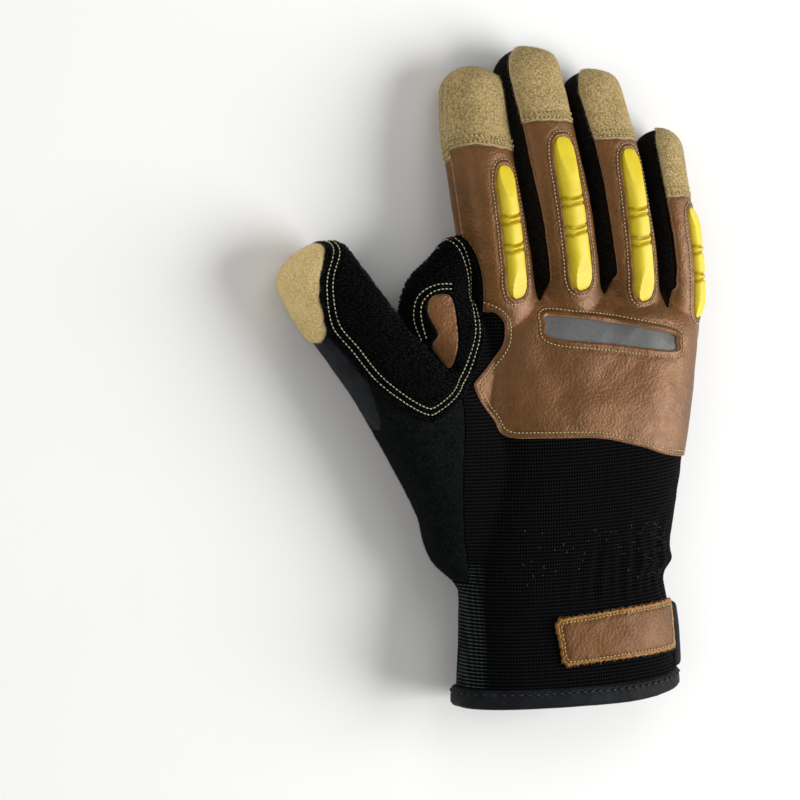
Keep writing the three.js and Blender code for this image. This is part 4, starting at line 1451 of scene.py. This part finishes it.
class Skin:
    def __init__(self, points, triangles, normals):
        self.triangles = triangles
        self.points = points
        self.normals = normals
        self.tree = BVHTree.FromPolygons(points.tolist(), triangles.tolist())

    def towards(self, start, direction):
        """The first point of the skin in this direction and its smooth normal, or nothing."""
        point, _, index, _ = self.tree.ray_cast(Vector(start), Vector(direction))
        if point is None:
            return None
        corners = self.triangles[index]
        gaps = np.linalg.norm(self.points[corners] - np.array(point), axis=1)
        normal = (self.normals[corners] / (gaps + EVENNESS)[:, None]).sum(0)
        return np.array(point), normal / np.linalg.norm(normal)

    def below(self, x, y):
        """The back's surface at this place, seen from above."""
        return self.towards((x, y, ABOVE_SKIN), (0, 0, -1))


def smooth_line(points, rounds=4):
    points = points.copy()
    closed = np.allclose(points[0], points[-1])
    for _ in range(rounds):
        inner = (points[:-2] + 2 * points[1:-1] + points[2:]) / 4
        if closed:
            points[0] = points[-1] = (points[-2] + 2 * points[0] + points[1]) / 4
        points[1:-1] = inner
    return points


def line_length(points):
    return np.concatenate([[0], np.cumsum(np.linalg.norm(np.diff(points, axis=0), axis=1))])


# Stitches

# Along and thickness of a stitch's rings, as shares of half its length and of the thread's radius.
STITCH_RINGS = [(-1, 0.3), (-0.86, 0.8), (-0.4, 1), (0.4, 1), (0.86, 0.8), (1, 0.3)]
STITCH_SIDES = 6
STITCH_END = 1.06
# Between stitches, their length, the thread's radius and how much the middle rises.
Thread = namedtuple("Thread", "pitch length radius lift")
TOPSTITCH = Thread(1.5, 1.02, 0.25, 0.12)
FINE_STITCH = Thread(1.6, 1.1, 0.21, 0.1)
CAP_STITCH = Thread(1.7, 1.15, 0.3, 0.14)
HEM_THREAD = Thread(3.2, 1.9, 0.4, 0.1)
# How much the stitches differ in direction and length, how flat they are, and how far their ends sink in.
STITCH_TURN = 0.05
STITCH_SPREAD = 0.06
STITCH_FLAT = 0.85
STITCH_SINK = 0.9
LEAST_POINTS = 6
LEAST_STITCHES = 3


def tube_faces(rings, sides):
    """Pairs of triangles between rings of points, as rows of corners."""
    faces = []
    for ring in range(rings - 1):
        for k in range(sides):
            a, b = ring * sides + k, ring * sides + (k + 1) % sides
            faces += [(a, a + sides, b), (b, a + sides, b + sides)]
    return faces


def stitch_template():
    """One stitch: how far along, across and up each point is, and its triangles."""
    turns = np.arange(STITCH_SIDES) / STITCH_SIDES * 2 * math.pi
    rows = [(along_it, size * np.cos(turn), size * np.sin(turn))
            for along_it, size in STITCH_RINGS for turn in turns]
    start, end = len(rows), len(rows) + 1
    faces = tube_faces(len(STITCH_RINGS), STITCH_SIDES)
    last = start - STITCH_SIDES
    for k in range(STITCH_SIDES):
        after = (k + 1) % STITCH_SIDES
        faces.append((start, k, after))
        faces.append((end, last + after, last + k))
    return np.array(rows + [(-STITCH_END, 0, 0), (STITCH_END, 0, 0)]), faces


STITCH_POINTS, STITCH_FACES = stitch_template()


class Stitches:
    """Collects the stitches of one piece of sewing."""

    def __init__(self, thread):
        self.thread = thread
        self.points = []
        self.rng = np.random.default_rng(SEED)

    def sew(self, points, normals, height, keep=None):
        """Stitches along a line that lies on the skin, raised by the height of the cloth there."""
        thread = self.thread
        if len(points) < LEAST_POINTS:
            return
        points = smooth_line(points)
        normals = unit(normals)
        length = line_length(points)
        if length[-1] < LEAST_STITCHES * thread.pitch:
            return
        count = int(length[-1] / thread.pitch)
        pitch = length[-1] / count
        starts = np.arange(count) * pitch + (pitch - thread.length) / 2
        ends = starts + thread.length
        start, end = (np.stack([np.interp(places, length, column) for column in points.T], 1)
                      for places in (starts, ends))
        up = unit(np.stack([np.interp((starts + ends) / 2, length, column) for column in normals.T], 1))
        middle = (start + end) / 2 + up * height
        if keep is not None:
            chosen = keep(middle)
            middle, up, start, end = (rows[chosen] for rows in (middle, up, start, end))
        if not len(middle):
            return
        forward = unit(end - start)
        side = unit(np.cross(up, forward))
        forward = unit(forward + side * self.rng.normal(0, STITCH_TURN, (len(side), 1)))
        size = self.rng.normal(1, STITCH_SPREAD, (len(side), 1, 1))
        along_it, across, upward = STITCH_POINTS.T[:, None, :, None]
        lift = thread.lift * (1 - along_it**2)
        lift = lift + thread.radius * (STITCH_FLAT * upward - STITCH_SINK * along_it**4)
        self.points.append(
            middle[:, None]
            + forward[:, None] * along_it * thread.length / 2 * size
            + side[:, None] * across * thread.radius
            + up[:, None] * lift
        )

    def follow(self, surface, seam, height):
        for points, normals in surface.lines(seam.value, seam.level):
            self.sew(points, normals, height, seam.keep)

    def trace(self, outline, find, height):
        """Stitches along a line seen from above, on the surface that find gives there."""
        places = [place for place in (find(x, y) for x, y in curve_through(outline)) if place]
        points, normals = np.array(places).transpose(1, 0, 2)
        self.sew(points, normals, height)


# Bumpers

# The first half of the rows: share of the length, and half width and height as shares of the whole.
BumperRow = namedtuple("BumperRow", "share wide high")
BUMPER_START = [
    BumperRow(0, 0.3, 0.16),
    BumperRow(0.012, 0.58, 0.27),
    BumperRow(0.035, 0.8, 0.38),
    BumperRow(0.07, 0.93, 0.5),
    BumperRow(0.12, 1, 0.66),
    BumperRow(0.24, 1, 1),
]
BUMPER_MIDDLE = BumperRow(0.5, 1.01, 1.03)
BUMPER_END = [row._replace(share=1 - row.share) for row in reversed(BUMPER_START)]
BUMPER_ROWS = [*BUMPER_START, BUMPER_MIDDLE, *BUMPER_END]
# Each of the two bands lies between two grooves, which bow towards its middle on the bumper's top.
BAND_FROM_MIDDLE = 4.9
BAND_HALF = 1.45
GROOVE_WIDTH = 0.6
GROOVE_DEPTH = 0.5
GROOVE_PINCH = 0.2
GROOVE_BOW = 0.7
BOW_REACH = 2.6
BUMPER_HEIGHT = 3.1
BUMPER_CREASE = 24
BUMPER_STEP = 0.4
# The flange below the leather, as shares across and up, and the arc over it with how square it is across
# and up.
FLANGE = [(1.16, -0.75), (1.14, -0.3), (1.0, -0.12)]
BUMPER_ARC = 9
ARC_START = 0.12
ARC_ACROSS = 0.75
ARC_UP = 0.9
# How much of the skin's own slope the bumper takes on, and how often its base line is smoothed.
SKIN_SLOPE = 0.5
BASE_ROUNDS = 12
SEARCH_HEIGHT = 30.0
# The painted shade in the grooves: how dark it is on the top, above a share of the height, and below it.
TOP_SHARE = 0.3
TOP_SHADE = 0.55
SIDE_SHADE = 0.25


def bumper_profile():
    """Across and up, as shares of the half width and height, from the sunk flange over the round top."""
    turns = np.linspace(ARC_START, math.pi / 2, BUMPER_ARC)
    right = FLANGE + [(math.cos(turn) ** ARC_ACROSS, math.sin(turn) ** ARC_UP) for turn in turns]
    return np.array(right + [(-across, up) for across, up in reversed(right[:-1])])


def bumper_base(bumper, frames, places_across, skin):
    """The line on the skin that the bumper stands on, and its normals."""
    bases, normals = [], []
    for middle, side, up, across in zip(frames.middle, frames.side, frames.up, places_across):
        base, normal = skin.towards(middle + side * across + up * SEARCH_HEIGHT, -up)
        bases.append(base)
        normals.append(unit(normal * SKIN_SLOPE + up))
    return smooth_line(np.array(bases), BASE_ROUNDS), unit(smooth_line(np.array(normals), BASE_ROUNDS))


def bumper_mesh(name, rings, shade):
    """Quads between the rings, with closed ends and the grooves' painted shade."""
    count, sides, _ = rings.shape
    k = np.arange(sides)
    quads = np.stack([k, (k + 1) % sides, (k + 1) % sides + sides, k + sides], 1)
    faces = (quads + sides * np.arange(count - 1)[:, None, None]).reshape(-1, 4).tolist()
    ends = [k[::-1].tolist(), (k + (count - 1) * sides).tolist()]
    mesh = bpy.data.meshes.new(name)
    mesh.from_pydata(to_frame(rings.reshape(-1, 3)).tolist(), [], faces + ends)
    turned = bmesh.new()
    turned.from_mesh(mesh)
    bmesh.ops.recalc_face_normals(turned, faces=turned.faces)
    turned.to_mesh(mesh)
    turned.free()
    add_value(mesh, "groove", shade)
    mesh.polygons.foreach_set("use_smooth", np.full(len(mesh.polygons), True))
    mesh.set_sharp_from_angle(angle=math.radians(BUMPER_CREASE))
    return mesh


def make_bumper(limb, skin):
    """A round body whose height the rows hold down: slanted flats at the ends, saddles at the grooves."""
    bumper = BUMPERS[limb.name]
    span = bumper.end - bumper.start
    shares = np.linspace(0, 1, int(span / BUMPER_STEP))
    from_middle = span * (shares - 0.5)
    bands = (-BAND_FROM_MIDDLE, BAND_FROM_MIDDLE)
    grooves = [band + side * BAND_HALF for band in bands for side in (-1, 1)]
    groove = sum(ridge(from_middle - place, GROOVE_WIDTH) for place in grooves)
    row_shares, *row_sizes = np.array(BUMPER_ROWS).T
    wide, high = (np.interp(shares, row_shares, size) for size in row_sizes)
    wide = wide * (1 - GROOVE_PINCH * groove)
    high = high * (1 - GROOVE_DEPTH * groove)
    frames = frames_at(limb, bumper.start + span * shares)
    places_across = bumper.across_start + (bumper.across_end - bumper.across_start) * shares
    bases, normals = bumper_base(bumper, frames, places_across, skin)
    sides = unit(np.cross(frames.forward, normals))
    profile_across, profile_up = bumper_profile().T
    up = np.where(profile_up > 0, np.minimum(profile_up, high[:, None]), profile_up)
    across = profile_across * bumper.wide * wide[:, None]
    bow = sum((band - from_middle) * ridge(from_middle - band, BOW_REACH) for band in bands) * GROOVE_BOW
    ahead = bow[:, None] * (1 - np.clip(profile_across, -1, 1) ** 2)
    rings = (
        bases[:, None]
        + sides[:, None] * across[..., None]
        + normals[:, None] * (up * BUMPER_HEIGHT)[..., None]
        + frames.forward[:, None] * ahead[..., None]
    )
    # The grooves' painted shade, darker on the top than on the sides.
    shade = groove[:, None] * np.where(profile_up > TOP_SHARE, TOP_SHADE, SIDE_SHADE)
    name = f"bumper_{limb.name}"
    piece(f"{name}_rubber", bumper_mesh(f"{name}_rubber", rings, shade), MATERIALS["rubber"], "rubber", name)


# The hang tab lies folded flat below the cuff.
Tab = namedtuple("Tab", "x base wide straight corner thick hole hole_at")
HANG_TAB = Tab(14, 5, 31, 15, 12, 2, 2.75, 22)
TAB_STEPS = 12
TAB_BEVEL = 0.3
TAB_BEVEL_STEPS = 2


def tab_outline(tab):
    """The tab's edge, with two rounded corners at the far end."""
    left, right, shoulder = tab.x - tab.wide / 2, tab.x + tab.wide / 2, tab.base + tab.straight
    outline = [(left, tab.base), (right, tab.base), (right, shoulder)]
    shares = np.linspace(0, 1, TAB_STEPS)
    for share in shares[1:]:
        outline.append((right - tab.corner * share**2, shoulder + tab.corner * (2 * share - share**2)))
    for share in shares:
        outline.append((left + tab.corner * (1 - share) ** 2, shoulder + tab.corner * (1 - share**2)))
    return outline


def tab_hole(tab):
    turns = np.arange(2 * TAB_STEPS) * math.pi / TAB_STEPS
    return [(tab.x + tab.hole * math.cos(turn), tab.hole_at + tab.hole * math.sin(turn)) for turn in turns]


def make_hang_tab():
    tab = HANG_TAB
    curve = bpy.data.curves.new("hang_tab_outline", "CURVE")
    curve.dimensions = "2D"
    curve.fill_mode = "BOTH"
    curve.extrude = (tab.thick / 2 - TAB_BEVEL) * MM
    curve.bevel_depth = TAB_BEVEL * MM
    curve.bevel_resolution = TAB_BEVEL_STEPS
    curve.offset = -TAB_BEVEL * MM
    for ring in (tab_outline(tab), tab_hole(tab)):
        spline = curve.splines.new("POLY")
        spline.points.add(len(ring) - 1)
        for point, (x, y) in zip(spline.points, ring):
            across, up, _ = to_frame((x, y, 0))
            point.co = (across, up, 0, 1)
        spline.use_cyclic_u = True
    draft = new_object("hang_tab_draft", curve)
    depsgraph = bpy.context.evaluated_depsgraph_get()
    mesh = bpy.data.meshes.new_from_object(draft.evaluated_get(depsgraph))
    bpy.data.objects.remove(draft)
    bpy.data.curves.remove(curve)
    mesh.transform(Matrix.Translation((0, 0, tab.thick / 2 * MM)))
    mesh.name = "hang_tab_suede"
    mesh.materials.clear()
    piece("hang_tab_suede", mesh, MATERIALS["tab"], "tab", "hang_tab")


# Seams: the stitched lines and the creases of the panels

# Where the lower edge's stitches lie: below the fingers and not on the thumb's side.
LOWER_STITCHES_TOP = 160.0
LOWER_STITCHES_LEFT = -26.0


def on_lower_edge(points):
    return (points[:, 1] < LOWER_STITCHES_TOP) & (points[:, 0] > LOWER_STITCHES_LEFT)


# A line runs where a value has the level. It lies in a groove, raised where that is below 0, and its
# thread's shadow darkens the panel by a share.
Seam = namedtuple("Seam", "value level groove wide dark keep", defaults=[0.8, None])
SEAM_SHADOW_WIDTH = 0.35
CAP_STITCHES = [1.3, 3.3]
TERRY_STITCHES = [2.8, 5.0]
PALM_STITCHES = [2.0, 4.2]
PAD_STITCHES = [-1.0, 1.0]
HEM_STITCH = Seam("hem", 9.7, 0.5, 0.9)
CAPS = [name for name in PANELS if "_cap_" in name]
STITCHED = {
    "back_leather": [
        Seam("window", -2.7, 0.3, 0.8),
        Seam("strip", -2.6, 0.3, 0.8),
        Seam("lower_edge", 2.2, 0.25, 0.7, keep=on_lower_edge),
    ],
    **{name: [Seam("cap", level, 0.3, 0.7, dark=0.6) for level in CAP_STITCHES] for name in CAPS},
    "thumb_terry": [Seam("terry", level, 0.35, 0.8) for level in TERRY_STITCHES],
    "wrist_strap": [Seam("edge", 1.7, 0.5, 0.8)],
    "wrist_leather_tab": [Seam("edge", 1.7, 0.5, 0.8)],
    "palm_leather": [Seam("palm_edge", level, 0.3, 0.7) for level in PALM_STITCHES]
    + [Seam(pad, level, 0.3, 0.7) for pad in PADS for level in PAD_STITCHES],
    "cuff_binding": [HEM_STITCH],
    # The knit's seams have no groove, only their painted shade.
    "back_knit": [Seam("cuff_seam", 0, 0, 1)],
    "cuff_palm_knit": [Seam("cuff_seam", 0, 0, 1)],
}
# The groove where back and palm meet at the outer fingers' free sides.
SIDE_SEAM = Seam("seam", 0, 0.7, 1.0)
CREASES = {
    "back_leather": [Seam("window", -1.4, -0.45, 1.0), Seam("strip", -1.0, -0.45, 0.9), SIDE_SEAM],
    **{name: [SIDE_SEAM] for name in CAPS},
    "thumb_terry": [Seam("web_seam", 0, 0.6, 0.8), Seam("hook", 0, 0.35, 0.8)],
    "palm_leather": [SIDE_SEAM],
}
PAD_RISE = 0.6
PAD_EDGE = 4.0
PUCKER = 0.2
PUCKER_PITCH = 3.2


def panel_relief(name, values):
    """The grooves and creases of a panel, its raised pads, and the puckers that the hem's stitches draw."""
    height = np.zeros(len(values["edge"]))
    for seam in STITCHED.get(name, []) + CREASES.get(name, []):
        height -= seam.groove * ridge(values[seam.value] - seam.level, seam.wide)
    if name == "palm_leather":
        height += sum(PAD_RISE * smoothstep(values[pad], 0, PAD_EDGE) for pad in PADS)
    if name == "cuff_binding":
        near_stitches = ridge(values["hem"] - HEM_STITCH.level, HEM_STITCH.wide)
        height += PUCKER * np.sin(values["along"] * 2 * math.pi / PUCKER_PITCH) * near_stitches
    return height


# The painted shadow along a panel's stitched lines and seams, kept as the value sewn.
def painted_seam_shadow(name, values):
    seams = STITCHED[name]
    return sum(seam.dark * ridge(values[seam.value] - seam.level, SEAM_SHADOW_WIDTH) for seam in seams)


RIB_MIDDLE = 20.0
RIB_SLOPE = 0.03
RIB_CURVE = 0.0006
# The knit left of the cuff's seam has a brighter, greener painted highlight on its ribs, up to these heights.
LEFT_HIGHLIGHT_WIDTH = 1.0
LEFT_HIGHLIGHT_TOP = (54, 62)


def rib_place(x, y):
    """Y as it would be if the knit's ribs ran straight across."""
    return y - RIB_SLOPE * (x - RIB_MIDDLE) - RIB_CURVE * (x - RIB_MIDDLE) ** 2


def make_panels():
    points, triangles = body_surface()
    normals = vertex_normals(points, triangles)
    points = points + normals * relief(points, normals)[:, None]
    normals = vertex_normals(points, triangles)
    fields, lines = panel_fields(points)
    x, y, _ = points.T
    # Where the brighter painted highlight lies on the knit left of the cuff's seam.
    left = (1 - smoothstep(x, CUFF_SEAM, CUFF_SEAM + LEFT_HIGHLIGHT_WIDTH)) * (1 - smoothstep(y, *LEFT_HIGHLIGHT_TOP))
    rib = rib_place(x, y)
    body = Surface(points, triangles, normal=normals, rib=rib, course=x, along=x, left_side=left, **lines)
    parts = {}
    for name, panel in PANELS.items():
        part = cut_panel(body, fields[name], KINDS[panel.kind])
        # The value sewn holds the painted shadow of the stitches.
        if name in STITCHED:
            part.values["sewn"] = painted_seam_shadow(name, part.values)
        panel_object(name, part, panel_relief(name, part.values))
        parts[name] = part
    return Skin(points, triangles, normals), parts


# The terry's loops: height, half width, thickness, sides, and the share of the surface's points that have
# one.
LOOP_RISE = 0.6
LOOP_REACH = 0.6
LOOP_THICK = 0.22
LOOP_STEPS = 4
LOOP_SIDES = 3
LOOP_SHARE = 0.72
LOOP_SINK = 0.15
# They stay clear of the edge and mostly of the stitches.
LOOP_FROM_EDGE = 0.5
LOOP_FROM_STITCH = 0.8
LOOP_ON_STITCH = 0.15
# How much they differ in turn, place, size and lean.
LOOP_TURN = 0.6
LOOP_SPREAD = 0.2
LOOP_SIZES = (0.7, 1.25)
LOOP_LEAN = 0.3


def make_loops(surface):
    """The terry's pile: a small arch of yarn at most points of its surface."""
    rng = np.random.default_rng(SEED + 1)
    values = surface.values
    chosen = (rng.random(len(surface.points)) < LOOP_SHARE) & (values["edge"] > LOOP_FROM_EDGE)
    seams = np.min([np.abs(values["terry"] - level) for level in TERRY_STITCHES] + [values["hook"]], axis=0)
    chosen &= (seams > LOOP_FROM_STITCH) | (rng.random(len(chosen)) < LOOP_ON_STITCH)
    roots = surface.points[chosen]
    up = values["normal"][chosen]
    count = len(roots)
    turn = rng.normal(0, LOOP_TURN, count)
    side = unit(np.cross(up, np.stack([-np.sin(turn), np.cos(turn), np.zeros(count)], 1)))
    other = np.cross(up, side)
    for direction in (side, other):
        roots = roots + direction * rng.normal(0, LOOP_SPREAD, (count, 1))
    size = rng.uniform(*LOOP_SIZES, (count, 1))
    lean = rng.normal(0, LOOP_LEAN, (count, 1))
    rings = []
    for share in np.linspace(0, math.pi, LOOP_STEPS + 1):
        middle = roots + side * (LOOP_REACH * size * math.cos(share)) + up * (KINDS["terry"].top - LOOP_SINK)
        middle = middle + (up + other * lean) * (LOOP_RISE * size * math.sin(share))
        outward = side * math.cos(share) + up * math.sin(share)
        for angle in np.arange(LOOP_SIDES) * 2 * math.pi / LOOP_SIDES:
            rings.append(middle + (outward * math.cos(angle) + other * math.sin(angle)) * LOOP_THICK)
    faces = [face[::-1] for face in tube_faces(LOOP_STEPS + 1, LOOP_SIDES)]
    copies("terry_loops", np.stack(rings, 1), faces, MATERIALS["loops"], "terry")


# Hairs on a panel: material, slot, count, length, height of the roots over the skin, and thickness.
Fuzz = namedtuple("Fuzz", "finish slot count length height thick", defaults=[0.045])
STRAP_FRINGE = Fuzz("golden fuzz", None, 1300, 0.9, 0.5)
PALM_FRINGE = Fuzz("yellow thread", None, 1500, 1.6, 0.1)
KNIT_LINT = Fuzz("lint", "knit", 70, 1.8, -0.4, 0.05)
FLEECE_PILE = Fuzz("fleece", "fleece", 7000, 0.9, -0.5)
SUEDE_NAP = Fuzz("suede hair", "suede", 2200, 0.55, KINDS["suede"].top - 0.05)
WALL_PILE = Fuzz("wall", "knit", 3000, 0.7, KINDS["wall"].top)
# How far the roots lie from their points at most, the shortest and longest hair as shares of the length,
# and how far a hair's end is up and to the side.
ROOT_SPREAD = 0.5
HAIR_LENGTHS = (0.5, 1.2)
HAIR_UP = 0.6
HAIR_ASIDE = 0.85
HAIR_SIDES = 3
HAIR_FACES = [(0, 2, 1), (0, 1, 3), (1, 2, 3), (2, 0, 3)]
# Where hairs stand: near torn edges, in a box round the middle of the gathered cuff, on the fleece away
# from its edge, and on the caps away from their stitches.
HAIRY = ["wrist_strap", "palm_leather", "back_knit", "thumb_fabric"]
STRAP_FRAYED = 0.6
PALM_FRAYED = 0.5
LINT_MIDDLE = (24, WAIST + 12)
LINT_HALF = (32, 11)
FLEECE_FROM_EDGE = 2.0
NAP_FROM_STITCH = 0.5


def make_fuzz(name, surface, fuzz, chosen):
    """Short hairs that stand on the chosen points of a surface."""
    rng = np.random.default_rng(SEED + 2)
    count = fuzz.count
    at = rng.choice(np.flatnonzero(chosen), count)
    up = surface.values["normal"][at]
    side = unit(np.cross(up, rng.normal(size=(count, 3))))
    other = np.cross(up, side)
    roots = surface.points[at]
    for direction in (side, other):
        roots = roots + direction * rng.uniform(-ROOT_SPREAD, ROOT_SPREAD, (count, 1))
    roots = roots + up * fuzz.height
    reach = fuzz.length * rng.uniform(*HAIR_LENGTHS, (count, 1))
    corners = []
    for angle in np.arange(HAIR_SIDES) * 2 * math.pi / HAIR_SIDES:
        corners.append(roots + (side * math.cos(angle) + other * math.sin(angle)) * fuzz.thick)
    corners.append(roots + up * reach * HAIR_UP + side * reach * HAIR_ASIDE)
    copies(name, np.stack(corners, 1), HAIR_FACES, MATERIALS[fuzz.finish], fuzz.slot)


def fuzz_all(parts):
    strap, palm, knit, fabric = (parts[name] for name in HAIRY)
    make_fuzz("strap_fringe", strap, STRAP_FRINGE, strap.values["edge"] < STRAP_FRAYED)
    frayed = (palm.values["palm_edge"] < PALM_FRAYED) & (palm.values["edge"] < PALM_FRAYED)
    make_fuzz("palm_fringe", palm, PALM_FRINGE, frayed)
    in_box = (np.abs(knit.points[:, :2] - LINT_MIDDLE) < LINT_HALF).all(1)
    make_fuzz("knit_lint", knit, KNIT_LINT, in_box)
    shown = (fabric.values["edge"] > FLEECE_FROM_EDGE) & (fabric.values["thumb_strip"] < 0)
    make_fuzz("fleece_pile", fabric, FLEECE_PILE, shown)
    for name, part in parts.items():
        if "_cap_back" in name or name == "thumb_cap":
            from_stitch = np.min([np.abs(part.values["cap"] - level) for level in CAP_STITCHES], axis=0)
            make_fuzz(f"{name}_nap", part, SUEDE_NAP, from_stitch > NAP_FROM_STITCH)
        if "fourchette" in name:
            make_fuzz(f"{name}_pile", part, WALL_PILE, np.full(len(part.points), True))


# A piece of sewing: its material, its thread, how high it lies in the panels' nap or loops, and the panels
# whose lines it follows.
Sewing = namedtuple("Sewing", "finish thread rise panels")
SEWING = {
    "thread_back": Sewing("cream thread", TOPSTITCH, 0, ["back_leather"]),
    "thread_caps": Sewing("cream thread", CAP_STITCH, 0.1, CAPS),
    "thread_terry": Sewing("pale thread", FINE_STITCH, 0.35 * LOOP_RISE, ["thumb_terry"]),
    "thread_strap": Sewing("yellow thread", FINE_STITCH, 0, ["wrist_strap", "wrist_leather_tab"]),
    "thread_palm": Sewing("yellow thread", FINE_STITCH, 0, ["palm_leather"]),
    "thread_hem": Sewing("black thread", HEM_THREAD, 0, ["cuff_binding"]),
}


def sew_all(parts, skin):
    for name, sewing in SEWING.items():
        stitches = Stitches(sewing.thread)
        for panel in sewing.panels:
            height = KINDS[PANELS[panel].kind].top + sewing.rise
            for seam in STITCHED[panel]:
                stitches.follow(parts[panel], seam, height)
        if name == "thread_terry":
            for row in HOOK_LINES:
                stitches.trace(row, skin.below, height)
        copies(name, np.concatenate(stitches.points), STITCH_FACES, MATERIALS[sewing.finish])


make_camera()
make_lamps()
make_stage()
bpy.context.scene.view_settings.view_transform = "Standard"
skin_tree, parts = make_panels()
make_loops(parts["thumb_terry"])
fuzz_all(parts)
for limb in FINGERS:
    make_bumper(limb, skin_tree)
make_hang_tab()
sew_all(parts, skin_tree)
